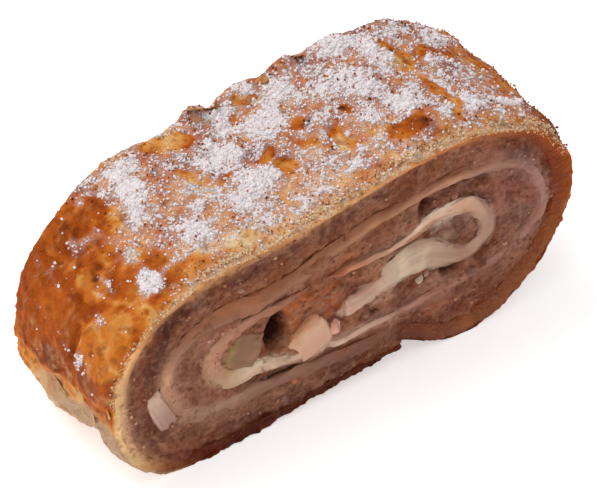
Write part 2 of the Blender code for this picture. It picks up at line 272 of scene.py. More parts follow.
# %% Relief of the crust: over, back, half sizes, lift, in mm
BLISTERS = [(18, 27, 11, 15, 2.1), (17, 7, 9, 7, 1.3), (160, 25, 16, 27, 1.7), (165, 8, 9, 7, 2.3),
            (142, 24, 4, 16, 0.9), (94, 41, 5, 6, 2.9), (104, 41, 6, 6, 2.1), (117, 40, 5, 7, 1.5),
            (128, 40, 5, 6, 1.2), (157, 36, 5, 5, 0.8), (72, 26, 7, 8, 0.7), (104, 12, 7, 6, 0.7),
            (132, 9, 6, 6, 0.7), (186, 18, 9, 12, 1.0)]
FLAKES = [(42, 27, 11, 10, 1.0), (42, 8, 10, 8, 0.8), (60, 29, 8, 8, 0.7), (88, 34, 6, 5, 0.8),
          (128, 7, 5, 6, 0.6), (172, 26, 8, 9, 0.8), (183, 10, 8, 7, 0.7)]
HOLLOWS = [(113, 16, 2, 6, 1.0), (55, 14, 2.5, 9, 0.9), (52, 36, 3, 5, 1.0), (66, 40, 8, 7, 0.9),
           (99, 33, 3, 3, 0.8), (97, 22, 3, 3, 0.8), (118, 23, 3, 3, 0.8), (151, 22, 3, 9, 0.8)]

# %% Cracks of the crust and the whole of its relief
CRACKS = [  # edges of big flakes: points over and back, in mm, then the depth of the step
    [(31, 36), (30, 28), (31.5, 22), (31, 16), (33, 10), (35, 3), (34, 0), 0.6],
    [(31, 15.5), (37, 14.5), (44, 15), (46.5, 17), 0.5], [(46.5, 17), (48, 12), (46, 6), (44.5, 0), 0.4],
    [(52, 37), (54, 28), (52.5, 23), 0.3], [(53, 19), (53.5, 13), (56, 8), 0.4], [(57, 5), (56.5, 1), 0.5],
    [(59, 36), (60, 27), (58, 20), 0.3], [(60, 16), (66, 17), (65, 24), (67.5, 36), 0.35],
    [(81, 20), (83, 28), (86, 34), 0.4], [(102, 23), (101, 14), (97, 11), 0.5],
    [(112, 21), (113.5, 16), (112.5, 10), 0.5], [(118, 2), (119, 10), (123, 13.5), (129, 12), 0.5],
    [(134, 37), (135, 30), (137, 25), 0.4], [(138, 18), (137, 12), (136, 8), 0.4], [(134, 4), (133, 1), 0.5],
    [(138, 27), (142, 29), (147, 26), 0.5], [(92, 38), (97, 36), (104, 38), (110, 36), 0.6],
    [(20, 30), (24, 20), (22, 12), (25, 4), 0.4], [(10, 26), (14, 16), (12, 6), 0.4],
    [(155, 40), (157, 28), (156, 16), (160, 6), 0.4], [(70, 9), (76, 4.5), (84, 6.5), (90, 3), 0.4],
    [(172, 30), (170, 18), (173, 8), 0.4], [(186, 34), (183, 22), (187, 10), 0.4]]


def crack_depth(over, back):
    """Depth of the cracks in mm: a bell curve of the distance to each crack's wavering line."""
    half_width = 0.6
    wander = 1.3 * crumbliness(over, back, 2.8 * MM, 14)
    u, v = over / MM + wander, back / MM - 0.7 * wander
    depth = np.zeros(np.broadcast(u, v).shape)
    for *line, deep in CRACKS:
        for (u0, v0), (u1, v1) in zip(line[:-1], line[1:]):
            along = ((u - u0) * (u1 - u0) + (v - v0) * (v1 - v0)) / ((u1 - u0) ** 2 + (v1 - v0) ** 2)
            along = np.clip(along, 0, 1)
            reach = np.hypot(u - u0 - along * (u1 - u0), v - v0 - along * (v1 - v0))
            depth = np.maximum(depth, deep * np.exp(-(reach / half_width) ** 2))
    return depth * (0.7 + 0.3 * unevenness(u / 4, v / 4, 15))


def crust_relief(over, back, z):
    """Lift of the crust: swell, pimples, blisters, sharp-edged flakes and hollows, and grain."""
    lift = 0.45 * MM * unevenness(over / (13 * MM) + 20, back / (10 * MM), 4)
    lift += 0.3 * MM * unevenness(over / (5 * MM) + 50, back / (5 * MM), 9)
    ragged = 1.5 * MM * unevenness(over / (4 * MM) + 50, back / (4 * MM), 12)
    ragged += 0.5 * MM * unevenness(over / (1.3 * MM) + 90, back / (1.3 * MM), 13)
    lift += MM * spots(BLISTERS, over, back, 1.0) + MM * spots(FLAKES, over + ragged, back, 0.08)
    lift -= MM * spots(HOLLOWS, over + ragged, back + 0.6 * ragged, 0.9)
    return lift * smooth((z - 1.0 * MM) / (4 * MM))


# %% [markdown]
# ## Sugar and browning by place
# Sifted sugar lies where it fell, thick in some patches and missing in others, and the oven browns
# each flake a little differently. Noise alone would put its patches anywhere. So lists of ovals
# place the large patches, and noise makes their outlines wander and adds the small ones.

# %% Powdered sugar: over, back, half sizes in mm, strength
SUGAR = [(71, 30, 4.5, 11, .9), (74, 37, 6, 5, .7), (70, 22, 3, 4, .4), (76, 12, 5.5, 5, .8),
         (81, 20, 5, 5, .4), (91, 27, 6, 7, .9), (97, 36, 6, 6, .9), (105, 38, 5, 4, .8),
         (104, 29, 8, 6, 1.0), (94, 17, 7, 5, 1.1), (87, 14, 4, 6, .7), (112, 34, 6, 6, .8),
         (120, 30, 6, 6, .7), (129, 38, 7, 5, 1.1), (126, 25, 8, 6, .75), (130, 16, 7, 6, .9),
         (121, 17, 4, 4, .6), (133, 32, 3.5, 8, .8), (133.5, 8, 2.5, 5, .8), (141, 9, 4, 5, 1.1),
         (141, 25, 1.6, 2.8, .9), (60.5, 8, 4, 5, 2.3), (62.5, 17, 2.6, 3.5, .7), (57, 31, 4, 6, .6),
         (66, 35, 2, 4, .3), (104, 12, 7, 5, .2), (112, 7, 6, 4, .3), (86, 6, 8, 4, .45),
         (98, 5, 9, 3, .4), (152, 34, 8, 4, .9), (151, 10, 7, 3, .9), (148, 20, 5, 7, .4),
         (160, 24, 6, 8, .35), (141, 37, 5, 5, .4), (40.5, 13, 2.8, 1.4, 1.1),
         (38.6, 15.6, 1.5, 1.2, .7), (54, 17, 1.2, 3.5, .9), (51, 13, 1.6, 2, .9),
         (122, 1.8, 1.6, 1.2, .9), (126, 2, 1, 1, .7)]
BARE = [(64, 29, 2.6, 8, 1.5), (85, 38, 5, 4, 1.6), (68, 5, 6, 4, .8), (81, 3.5, 4, 2.4, 1.2),
        (113, 15, 2.4, 5.5, 1.3), (101, 17, 2, 5, 1.0), (99, 23, 3.5, 1.6, .9), (99, 34, 1.6, 1.4, .9),
        (103, 37, 3, 1.4, .7), (110, 24, 2, 1.5, .8), (118.5, 22, 2, 2.4, 1.1), (125, 8, 5.5, 5, 1.4),
        (137, 30, 1.6, 8, 1.2), (138, 17, 1.5, 8, 1.2), (136.5, 8, 1.3, 6, 1.0), (142, 29, 4, 2.4, 1.1),
        (148, 27, 4, 2, .8), (65, 12, 3, 4, .5), (82, 26, 2, 5, .5), (88, 21, 4, 2, .5),
        (107, 19, 2, 4, .5), (88, 36, 3.5, 4, 1.0), (166, 13, 5, 5, .5)]


def wandered(over, back, reach, seed):
    """The same place moved by up to the reach in mm, so that an oval spot gets a ragged outline."""
    push = reach * MM * crumbliness(over, back, 5 * MM, seed)
    pull = reach * MM * crumbliness(over + 90 * MM, back, 5 * MM, seed + 1)
    return over + push, back + pull


def sugar_cover(over, back):
    """How much powdered sugar lies at a place: a dusting over the top, spots, and bare places."""
    o = over / MM
    dusting = 0.44 * smooth((o - 58) / 9) * smooth((158 - o) / 14)
    dusting = dusting * (0.7 + 0.3 * smooth((back / MM - 1) / 6)) + 0.10 * smooth((o - 138) / 20)
    there = wandered(over, back, 2.6, 301)
    cover = dusting + 0.6 * spots(SUGAR, *there, 0.8) - 0.8 * spots(BARE, *there, 0.7)
    cover += 0.22 * crumbliness(over, back, 4.5 * MM, 41) + 0.3 * crumbliness(over, back, 1.7 * MM, 48)
    return cover * smooth((o - 32) / 6) * smooth((186 - o) / 14)


# %% Browning: over, back, half sizes in mm, how much darker or lighter
DARK = [(53.2, 20.5, 1.4, 1.2, .5), (57, 4, 1.3, 3, .4), (66, 33, 3, 4, .2), (36, 24, 4, 6, .22),
        (101, 20, 2.4, 3.4, .38), (98.5, 24, 3, 1.6, .3), (99, 34, 1.4, 1.2, .45),
        (118.5, 22, 1.6, 2, .35), (110, 24, 2, 1.2, .4), (112, 17, 2, 4, .25), (124, 12, 4, 1.6, .1),
        (128, 5, 2, 4, .1), (62, 4, 5, 3, .1), (170, 12, 6, 9, .12), (139, 21, 1, 5, .2),
        (92, 39, 4, 2, .25), (107, 34, 3, 1.6, .2), (190, 8, 14, 9, .15), (88, 36.5, 4, 4.5, .14)]
GOLDEN = [(20, 30, 7, 5, .2), (50, 7, 5, 6, .12), (62, 3, 3, 3, .2), (81, 4, 5, 3, .12),
          (87, 37, 5, 4, .3), (46, 28, 4, 7, .12), (57, 24, 2, 8, .15), (63, 17, 2, 4, .2),
          (84, 22, 5, 7, .15), (106, 16, 4, 5, .2), (113, 14, 1.6, 4, .2), (105, 5, 12, 3, .12),
          (122, 5, 4, 4, .12)]
# Plates of crust between the cracks, each baked a little lighter or darker than its neighbour.
PLATES = [(46.5, 7.5, 7.5, 8.5, -.2), (35.5, 7.5, 4.5, 8, .04), (40, 27, 8.5, 10.5, .04),
          (49.5, 29, 3.5, 9, .06), (57, 29, 3, 9, .1), (53.5, 20, 3.5, 5, -.16),
          (81, 4, 4.5, 3.2, -.16), (62, 4, 4.5, 3, .08), (86, 38, 6, 4, -.1), (124, 6, 6, 6, .16),
          (165, 10, 9, 8, .1)]
# How dark the crust is over the roll: over in mm, from 0, pale, to 1, dark brown.
BAKE_AND_SHADE = [(-45, .85), (-10, .95), (2, .80), (10, .46), (20, .30), (29, .40), (33, .66), (50, .66),
        # Painted shade: at 210 and 225 mm over, the underside at the lower right by the table is darker than
        # baking alone.
        (60, .54), (75, .47), (100, .47), (130, .5), (155, .54), (170, .62), (190, .74), (210, .84),
        (225, .9)]
BAKED = [(0.0, "#f0d8b0"), (0.18, "#e6b87c"), (0.34, "#dc9448"), (0.46, "#cc7628"), (0.58, "#b85a18"),
         (0.72, "#97430f"), (0.86, "#70300c"), (1.0, "#4c1e0c")]


def on_big_flakes(over, end):
    """1 on the two big flakes of the left side, which rose free and baked smooth, and 0 beyond."""
    return smooth((over / MM - 28) / 4) * smooth((end - over / MM) / 5)


def browning(over, back):
    """How dark the dough is baked, from 0, pale, to 1, dark brown, with painted shade under the lower right.
    """
    o = over / MM
    baked = np.interp(o, *zip(*BAKE_AND_SHADE))
    rim = np.exp(-back / (2.2 * MM)) * smooth((o - 48) / 8) * smooth((152 - o) / 12)
    orange_foot = 0.3 * smooth((back / MM - 20) / 9) * smooth((17 - o) / 7) * smooth((o + 6) / 8)
    baked = baked - 0.6 * np.minimum(crack_depth(over, back), 0.6) - 0.24 * rim + orange_foot
    there = wandered(over, back, 2.2, 311)
    baked = baked + spots(DARK, *there, 0.8) - spots(GOLDEN, *there, 0.8)
    baked = baked + spots(PLATES, *wandered(over, back, 1.2, 321), 0.14)
    calm = 1 - 0.45 * on_big_flakes(over, 54)
    baked += calm * (0.24 * crumbliness(over, back, 8 * MM, 51) + 0.16 * crumbliness(over, back, 2 * MM, 61))
    streaks = unevenness(over / (9 * MM) + 11, back / (1.4 * MM) + over / (7 * MM) + 40, 71)
    return baked + 0.12 * streaks * smooth((31 - o) / 6) * smooth((o + 4) / 8)


# %% [markdown]
# ## The finer relief of the crust
# A buttered crust breaks into thin plates with low sharp edges, with cracks between the big ones.
# Bumps in the material alone would leave a smooth outline, so plates, cracks and heaps of sugar
# are added to the solids' relief, and they move the points of the mesh.


# %% All that stands up from the crust
def flaky(over, back):
    """Plates of baked flakes: noise cut into steps, each with a low sharp edge."""
    level = 2.3 * crumbliness(over + 0.5 * back, back, 8 * MM, 47, 2)
    level += 0.22 * unevenness(over / (1.2 * MM), back / (1.2 * MM), 46)
    return np.floor(level) + smooth((level % 1 - 0.78) / 0.22)


def high_up(over):
    """1 on the top of the roll, fading to 0 down both ends."""
    return smooth((over / MM - 20) / 20) * smooth((180 - over / MM) / 16)


def crust_lift(over, back, z):
    """The solids' relief with plates, cracks, heaps of sugar, grain, crags and dips added up.

    The front rim was pressed by the knife, so everything is held lower there. The left side
    stays calm between its big flakes, and its rear and the rear rim are craggy.
    """
    held = 0.4 + 0.6 * smooth(back / (4 * MM))
    lift = crust_relief(over, back, z) * held
    calm = 1 - 0.75 * on_big_flakes(over, 56)
    lift += 0.34 * MM * flaky(over, back) * calm * held - 0.7 * MM * crack_depth(over, back)
    heap = smooth((sugar_cover(over, back) - 0.3) / 0.5)
    lift += MM * heap * (0.2 + 0.5 * np.abs(crumbliness(over, back, 1.8 * MM, 43)))
    lift += 0.34 * MM * crumbliness(over, back, 1.3 * MM, 44) * (0.2 + 0.8 * calm)
    left_rear = smooth((back - 20 * MM) / (12 * MM)) * smooth((66 * MM - over) / (16 * MM))
    lift += 0.9 * MM * np.abs(crumbliness(over, back, 4 * MM, 45)) * left_rear * smooth(over / (12 * MM))
    rear_rim = smooth((back - 34 * MM) / (4 * MM)) * high_up(over)
    lift += 0.8 * MM * np.abs(crumbliness(over, back, 2.4 * MM, 47)) * rear_rim
    rear_dip = smooth((CUT_TO_CUT - back) / (3.5 * MM))
    dip = (1 - smooth(back / (4.5 * MM))) + 0.6 * (1 - rear_dip)
    return lift - 0.8 * MM * dip * smooth((z - 34 * MM) / (10 * MM))


# %% [markdown]
# ## The crust
# The crust is the outermost turn of the sheet. A grid over its outside alone would show a paper
# edge at the cuts, so a closed profile is carried along the curve: over the outside from cut to
# cut, round the rim, down the cut and back along the inside. The outside is fine enough for
# flakes and lumps of sugar, and the hidden inside is coarse.


# %% Profile across the sheet
def profile(fine, coarse, cut_points, rim=0.5 * MM):
    """Closed line round the sheet's cross-cut: y, side (1 outside, -1 inside) and which cut.

    It is a rectangle whose two ends are the cuts; near each corner the side eases off along a
    quarter circle with the radius of the rim.
    """
    straight, rounded = 0.82, 0.18  # shares of the half thickness at a cut
    corner = np.linspace(0, 1, 4)[1:-1]
    half = CUT_TO_CUT / 2
    outside = np.linspace(-half + rim, half - rim, fine)
    inside = np.linspace(half - rim, -half + rim, coarse)
    down = np.linspace(straight, -straight, cut_points)
    bend = np.sin(corner * np.pi / 2), 1 - np.cos(corner * np.pi / 2)
    y = np.r_[outside, half - rim + rim * bend[0], np.full(cut_points, half),
              half - rim * bend[1], inside, -half + rim - rim * bend[0],
              np.full(cut_points, -half), -half + rim * bend[1]]
    side = np.r_[np.ones(fine), 1 - rounded * bend[1], down, -straight - rounded * bend[0],
                 -np.ones(coarse), -1 + rounded * bend[1], down[::-1], straight + rounded * bend[0]]
    cut = smooth((np.abs(y) - (half - 1.2 * rim)) / (1.2 * rim)) * np.sign(y)
    return y, side, cut


# %% The profile carried along the curve
# Where filling or fruit hides the dough at the front cut: x, z, half sizes, depth, in mm.
DENTS = [(-7.5, 30.6, 7.4, 2.8, 1.5), (-7.0, 14.8, 4.4, 2.4, 1.3), (4, 27.5, 4, 3, 1.0),
         (19.5, 41.2, 2, 1.2, .7), (40, 12, 4, 2, .5)]


def sheet_edges(s, side, cut):
    """How far out each point of the sheet lies from its middle line.

    That is its side times half the thickness. Each side wanders on its own, so the thickness
    is uneven at a cut, but the outside of the crust keeps to the line of the solids.
    """
    free = smooth((CRUST_START - 0.1 - s["q"]) / 0.6)
    upper = smooth((side + 1) / 2)
    ends = cut * 2 + 9
    wander_out = 0.3 * unevenness(s["along"] / (5 * MM) + 3, ends, 81)
    wander_out += 0.15 * unevenness(s["along"] / (1.9 * MM) + 3, ends * 2, 83)
    wander_in = 0.24 * unevenness(s["along"] / (5 * MM) + 3, ends + 5, 84)
    wander_in += 0.15 * unevenness(s["along"] / (1.9 * MM) + 3, ends * 2 + 5, 85)
    outer = wander_out * free * upper
    half = s["thick"] / 2 * (1 + outer + wander_in * (1 - upper) * (0.45 + 0.55 * free))
    return half, side * half + free * 0.5 * MM * unevenness(s["along"] / (9 * MM) + 5, cut * 3 + 19, 82)


def sheet_points(stops, line, crust):
    """The profile carried along the curve, with the relief of the crust and of the two cuts.

    A place is the middle line plus its normal times the distance out. At a cut, y moves out by
    a belly, which is 1 minus the side squared, and by a roughness that runs along the layers.
    """
    y, side, cut = (part[None, :] for part in line)
    s = {key: value[:, None] for key, value in stops.items()}
    half, out = sheet_edges(s, side, cut)
    flat_y = y + 0 * s["x"]
    jag = np.zeros(out.shape)
    if crust:
        lift = crust_lift(s["over"] + 0 * flat_y, flat_y - FRONT, s["z"] + s["nz"] * out)
        out = out + lift * smooth((side + 0.2) / 1.1)
        jag = crumbliness(s["along"], cut * 9 * MM, 1.6 * MM, 92) * smooth((side - 0.1) / 0.7)
    across = side * half + cut * 30 * MM
    rough = 0.22 * crumbliness(s["along"], across, 1.6 * MM, 91)
    rough = rough + 0.2 * unevenness(s["along"] / (5 * MM) + 7, across / (5 * MM), 93)
    rough = rough + 0.3 * unevenness(s["along"] / (9 * MM) + 7, cut * 2 + 12, 94) * (not crust)
    belly = 0.2 * (1 - np.clip(side, -1, 1) ** 2)
    flat_y = flat_y + cut * MM * (rough + belly - 0.35 + jag) * (0.75 if crust else 1.0)
    x, z = s["x"] + s["nx"] * out, s["z"] + s["nz"] * out
    if not crust:
        flat_y = flat_y + MM * spots(DENTS, x, z, 0.5) * (cut < 0)
    return settle(x, flat_y, z)


# %% [markdown]
# ## Colours of the two cuts
# Cut dough isn't one colour. It is cream in its thick core, browner where paste has soaked in, and
# smeared where the knife dragged paste over it. Tones listed by station bend with the sheet, and
# tones listed by place cross its layers. Both are mixed into one colour for each point. A few
# tones of both kinds are painted shade, in hollows and next to the table.

# %% Colours of the cut sheet: station, colour at its outer side, at its inner side
CUT_TONES = [(0, "#cda491", "#c79d88"), (.5, "#cbaa94", "#c6a28b"), (.8, "#bba48c", "#bca88f"),
             (1.3, "#b69b84", "#b2927c"), (2, "#a67b6a", "#ac8574"), (3, "#ab8270", "#ae8977"),
             (3.6, "#cfa48c", "#c08e70"), (4, "#ecccb6", "#dcb396"), (4.6, "#e9c6b0", "#d2a284"),
             (5, "#d4ae95", "#c5997e"), (5.6, "#a76343", "#a45d3c"), (6, "#9e6953", "#965c44"),
             (7, "#bc8f6e", "#cb8f75"), (7.6, "#b69271", "#bb936f"), (8, "#c7a68b", "#c2ab8e"),
             (9, "#cda994", "#d1ae98"), (9.5, "#d4ae9b", "#d4ae9b"), (10, "#b07c69", "#b4806d"),
             (10.5, "#956254", "#a06f5e"), (11, "#bc9187", "#a87468"), (11.5, "#ac8073", "#9c6c5c"),
             (12, "#8f5838", "#b08162"), (12.5, "#8a5631", "#aa7754"), (13, "#945732", "#8b593d"),
             (13.5, "#89583c", "#92664b"), (14, "#c89676", "#b9886d"), (15, "#936d58", "#9b7764"),
             (16, "#71402e", "#7a4c3a"), (16.4, "#683a2c", "#6c3e2c"), (17, "#8b553b", "#894c2d"),
             (17.5, "#894d27", "#82482e"), (18, "#964a18", "#80371b"), (18.5, "#9e460f", "#813718"),
             (19, "#ef9240", "#c47c4e"), (19.5, "#ffba66", "#e3a976"), (20, "#f9ac5b", "#cc9563"),
             (20.6, "#f4b36d", "#d19666"), (21, "#edc38d", "#deae82"), (21.5, "#e5be87", "#daab7f"),
             # Painted shade: from station 22 the foot is baked dark and painted darker still next to the
             # table.
             (21.74, "#7c3e22", "#7c3e22"), (22, "#460f02", "#511604"), (23, "#350a02", "#421204")]
# How far dough and paste seep into each other: station, mm at the outer side, at the inner side.
SEEPING = [(0, .15, .15), (1, .12, .12), (2, .3, .3), (3.5, .3, .4), (4, .15, .5), (5, .4, .25),
           (7, .3, .25), (8, .2, .12), (9, .2, .3), (10, .8, .9), (11, 1.6, 1.4), (12, 2.6, .5),
           (13, 2.4, .4), (14, 1.2, .4), (15, 1.8, .8), (16, 1.8, 1.8), (17, 1.6, 2.4), (18, .8, 1.6),
           (19, .3, .4), (21, .8, .8), (23, .5, .5)]

# %% Tones of the cut face by place: x, z, half sizes in mm, strength, colour
# Smears lie where filling and dough are dragged into each other.
SMEARS = [(0, 37.5, 10, 2.6, .6, "#94583c"), (-31, 37.5, 11, 2.0, .5, "#a8683a"),
          (-8, 29, 9, 4, .8, "#b05e30"), (-5, 33.5, 8, 2.2, .7, "#9c5836"),
          (22, 47, 12, 2.4, .3, "#a0602f"), (28, 36, 3, 2, .5, "#d0905e"),
          (5, 13.5, 6, 1.2, .3, "#b48a78"), (12, 9, 9, 3, .6, "#6c3828"), (22, 8, 6, 4, .5, "#7c4430"),
          (44, 10, 8, 5, .5, "#985a3a"), (50, 17, 5, 6, .5, "#94521f"), (-46, 5, 9, 4, .5, "#a86c40"),
          # Painted shade: the dark band at x -12, z 3 along the foot is baked crust, painted darker next to
          # the table.
          (-40, 8, 8, 4, .5, "#a06a48"), (-12, 3.0, 22, 2.4, .8, "#4a1e0e"),
          (47, 34, 4, 8, .4, "#a87068"), (44, 22, 5, 7, .35, "#ac8478"),
          (31, 41, 4, 1.6, .4, "#a87c6c"), (-42, 41, 7, 3, .6, "#6c2c16"),
          (-34, 45, 5, 1.4, .5, "#6c2c12")]
# The paste is browner or paler from place to place, and a few dark spots are painted shade.
PASTE = [(1, 44.5, 16, 4, .9, "#6d351b"), (21, 48, 14, 4, .9, "#91542f"),
         (-19, 42.5, 15, 4.5, 1., "#682c12"), (-40, 42.5, 10, 5, .9, "#5a200c"),
         (-49, 26.5, 5, 15, .9, "#71361d"), (-46.5, 34.5, 4.5, 6, 1., "#4e1908"),
         (43, 43, 9, 4, .9, "#6d3214"), (41, 40.5, 6, 3.5, 1., "#411405"),
         (52, 31, 4.5, 10, .8, "#864028"), (-19, 6.5, 16, 3.6, .8, "#745040"),
         (2, 6.5, 12, 3.5, .8, "#6c4030"), (31, 39.5, 6, 3, .8, "#6a3c2e"),
         # Painted shade: the dark spot at x 33, z 39.5 darkens the hollow there.
         (33, 39.5, 4, 1.9, .9, "#4a2622"), (41, 32, 8, 8, .8, "#9e6058"),
         (45, 37, 4, 4, .5, "#7c4842"), (41, 17, 9, 6, .8, "#a4765e"), (43, 25, 6, 8, .6, "#ac867a"),
         (21, 10.5, 13, 3, .9, "#b3715a"), (1, 35.5, 12, 3, .9, "#ac6c4a"),
         (12, 38.4, 9, 4, .9, "#946042"), (13.5, 38, 4, 2.4, .6, "#ae8060"),
         (-19, 34.5, 10, 3, .8, "#6c3824"), (-36, 28.5, 6, 6, 1., "#b0806a"),
         (-37, 20, 5, 7, .8, "#865844"), (-34, 24, 3, 4, .5, "#7c4c3c"),
         # Painted shadow: the dark band at x -19, z 14.5 lies under the lowest inner turn.
         (-19, 14.5, 12, 2.4, .9, "#55301f"), (21, 18.5, 8, 2.8, .8, "#966e5f"),
         (8, 20.6, 6, 2.4, 1., "#d4ab95"), (-5, 28, 5, 4.4, 1., "#ac5a2e"),
         (-11, 29.5, 7, 4, 1., "#b8642f"), (-12, 24.5, 3, 3, .8, "#c87e4c"),
         (-3.4, 24, 2.6, 3, .6, "#b85f2c"), (-2.6, 18.8, 2.8, 3.2, 1., "#f4c0a4"),
         # Painted shade: the dark spot at x -43, z 39.5 darkens the hollow there.
         (24, 29, 4.5, 2.6, .8, "#ceb498"), (-43, 39.5, 3, 3, .8, "#44201a"),
         (7, 29.5, 6.4, 5, .9, "#a87e60"), (-42, 17, 3, 6, .7, "#a88070"),
         (-42.2, 24, 2, 6, 1., "#cca08a"), (-31.5, 22, 1.6, 4, 1., "#dcb494"),
         (25, 33, 6, 2.2, 1., "#fff0e0"), (-24, 1.4, 22, 2.4, 1., "#7a3c1c"),
         (-44, 1.5, 6, 2, .6, "#8a5434"), (-41.5, 12.5, 4, 2.4, .6, "#7c4a34"),
         (-39, 9, 5, 2, .5, "#8a4a1e"), (2, 28.5, 2.6, 5, .8, "#96584a"),
         # Painted shade: the dark spot at x 19.4, z 39.4 darkens the hollow there.
         (19.4, 39.4, 2.6, 3.2, 1., "#4c221e"), (25, 41, 5, 1.8, .6, "#7c4a3c"),
         (28, 30.6, 5, 4, .9, "#987062"), (31, 27, 2.4, 3.2, .9, "#84483a"),
         # Painted shadow: the dark spot at x 26.6, z 20 lies under the hooked arm.
         (26.6, 20, 4.4, 2, .9, "#3c2018"), (6, 17.8, 5.4, 2, .9, "#864e30"),
         (31, 15.5, 8, 5, .6, "#844e3a"), (-26, 24, 6, 6, 1., "#9a7250"),
         (-44.5, 14, 3, 5, .7, "#a88068"), (-46, 12, 9, 5, .5, "#865842"),
         (50, 20, 4, 7, .6, "#94521f")]
# Stains by skins, syrup and fruit, anywhere in the paste: colour, size in mm, seed, strength.
STAINS = [("#64403e", 7, 201, .5), ("#a65e2e", 6, 204, .4), ("#b48a7c", 5, 207, .4),
          ("#4a2018", 3, 210, .4)]


# %% Colour of the paste
def layer_place(x, z):
    """Where a place lies in the roll: length round it, and distance out from its core line.

    The core line climbs gently from left to right. The length is an angle about its middle
    times a mean radius, with x shortened so that it runs evenly round the flat oval.
    """
    left, right, height, climb = -22 * MM, 26 * MM, 23 * MM, 0.14
    core_x = np.clip(x, left, right)
    core_z = height + climb * (core_x - left)
    round_roll = 30 * MM * np.arctan2(z - core_z, 0.45 * (x - 2 * MM))
    return round_roll, np.hypot(x - core_x, z - core_z)


def smear(colour, x, z, table, strength):
    """Drag the tones of a table over a colour, with outlines that wander along the layers."""
    around, out = layer_place(x, z)
    wander = 2.4 * MM * unevenness(around / (7 * MM) + 30, out / (2.2 * MM) + 30, 107)
    sink = 1.1 * MM * crumbliness(x, z, 3 * MM, 108)
    for mx, mz, half_x, half_z, weight, tone in table:
        spot = spots([(mx, mz, half_x, half_z, weight)], x + wander, z + sink, 0.8)
        colour = blend(colour, tone, spot * strength)
    return colour


def paste_tone(x, z, behind):
    """Colour of the paste before its crumbs: tones by place, some painted shade, streaks along the layers,
    stains.

    A ring about 13 mm out from the core and beyond is darker and browner.
    """
    colour = np.broadcast_to(linear("#84492f"), x.shape + (3,))
    colour = smear(colour, x, z, PASTE, 1 - 0.35 * behind)
    colour = smear(colour, x, z, SMEARS, 0.5 * (1 - 0.5 * behind))
    around, out = layer_place(x, z)
    streaks = unevenness(around / (8 * MM) + 31 + 9 * behind, out / (2.6 * MM) + 31, 133)
    streaks += 0.4 * unevenness(around / (3 * MM) + 31 + 9 * behind, out / (1.2 * MM) + 31, 134)
    colour = blend(colour, "#52200e", 0.36 * smooth(-1.4 * streaks - 0.1))
    colour = blend(colour, "#b8805a", 0.26 * smooth(1.4 * streaks - 0.2))
    for hue, size, seed, weight in STAINS:
        stain = crumbliness(x + 50 * MM * behind, z, size * MM, seed)
        colour = blend(colour, hue, weight * smooth(1.8 * stain - 0.25))
    ring = smooth((out / MM - 13) / 4)[..., None]
    return colour * (np.array([0.92, 0.84, 0.8]) - ring * np.array([0.14, 0.2, 0.24]))


# %% Colour of the cut dough
def dough_tone(q, side):
    """Colour of cut dough after q stations: from its inner side, -1, to its outer side, 1."""
    at = [row[0] for row in CUT_TONES]
    inner, outer = (np.array([linear(row[k]) for row in CUT_TONES]) for k in (2, 1))
    inner, outer = (np.stack([np.interp(q, at, tones[:, c]) for c in range(3)], axis=-1)
                    for tones in (inner, outer))
    return inner + (outer - inner) * smooth((side + 1) / 2)[..., None]


def seep(q, side, x, z):
    """How far dough and paste seep into each other at a side of the sheet, unevenly, in metres."""
    at = [row[0] for row in SEEPING]
    outer, inner = (np.interp(q, at, [row[k] for row in SEEPING]) for k in (1, 2))
    return MM * np.where(side > 0, outer, inner) * (1 + 0.8 * crumbliness(x, z, 5 * MM, 137))


def cut_colour(stops, line, points):
    """Colour of the dough at a cut: tones by station, blotches, and paste seeping into its edges."""
    side, cut = line[1][None, :], line[2][None, :]
    q = stops["q"][:, None] + 0 * side
    x, z = points[..., 0], points[..., 2]
    behind = 1.0 * (cut > 0)
    colour = dough_tone(q, side)
    along = stops["along"][:, None] + 0 * side
    across = side * 2 * MM + cut * 40 * MM
    blotch = crumbliness(along, across, 5 * MM, 101)
    fine = crumbliness(along, across, 1.3 * MM, 105)
    colour = blend(colour, "#8c543c", 0.3 * smooth(-1.6 * blotch - 0.2) + 0.16 * smooth(-2 * fine - 0.4))
    colour = colour * (1 + 0.3 * smooth(1.6 * blotch - 0.2))[..., None]
    layers = unevenness(along / (6 * MM), side * stops["thick"][:, None] / (1.3 * MM) + 9, 108)
    colour = blend(colour, "#7c4426", 0.16 * smooth(1.5 * layers - 0.2))
    colour = smear(colour, x, z, SMEARS, 0.4 + 0.5 * (1 - behind))
    to_edge = (1 - np.abs(side)) * stops["thick"][:, None] / 2
    mixed = 0.5 * np.exp(-to_edge / seep(q, side, x, z))
    mixed = np.where((q > CRUST_START) & (side > 0), 0, mixed)
    return colour + (paste_tone(x, z, behind) - colour) * mixed[..., None]


# %% Colour of the crust
def crust_colour(stops, line, points):
    """Baked colour outside, paler and painted greyer as shade where the foot stayed soft, which fades to
    dough in the cut.
    """
    y, side = line[0][None, :], line[1][None, :]
    over = stops["over"][:, None]
    back = y - FRONT + 0 * over
    baked = shade(browning(over, back), BAKED)
    low = over / MM + 3 * crumbliness(over, back, 6 * MM, 141)
    # The soft foot is pale dough, painted a greyer, darker tan as shade on the lower left side.
    pale_foot_and_shade = smooth((31 - low) / 4) * smooth((low - 1) / 8) * smooth((38 - back / MM) / 16)
    baked = blend(baked, "#b4967c", 0.9 * pale_foot_and_shade)
    floury = np.exp(-back / (1.6 * MM)) * smooth((over / MM - 60) / 10) * smooth((156 - over / MM) / 10)
    baked = blend(baked, "#f0d8bc", 0.6 * floury)
    ragged = 0.3 * crumbliness(over + 0 * side, side * 3 * MM + y, 1.8 * MM, 109)
    inside = smooth((0.98 + ragged - side) / 0.5)
    return baked + (cut_colour(stops, line, points) - baked) * inside[..., None]


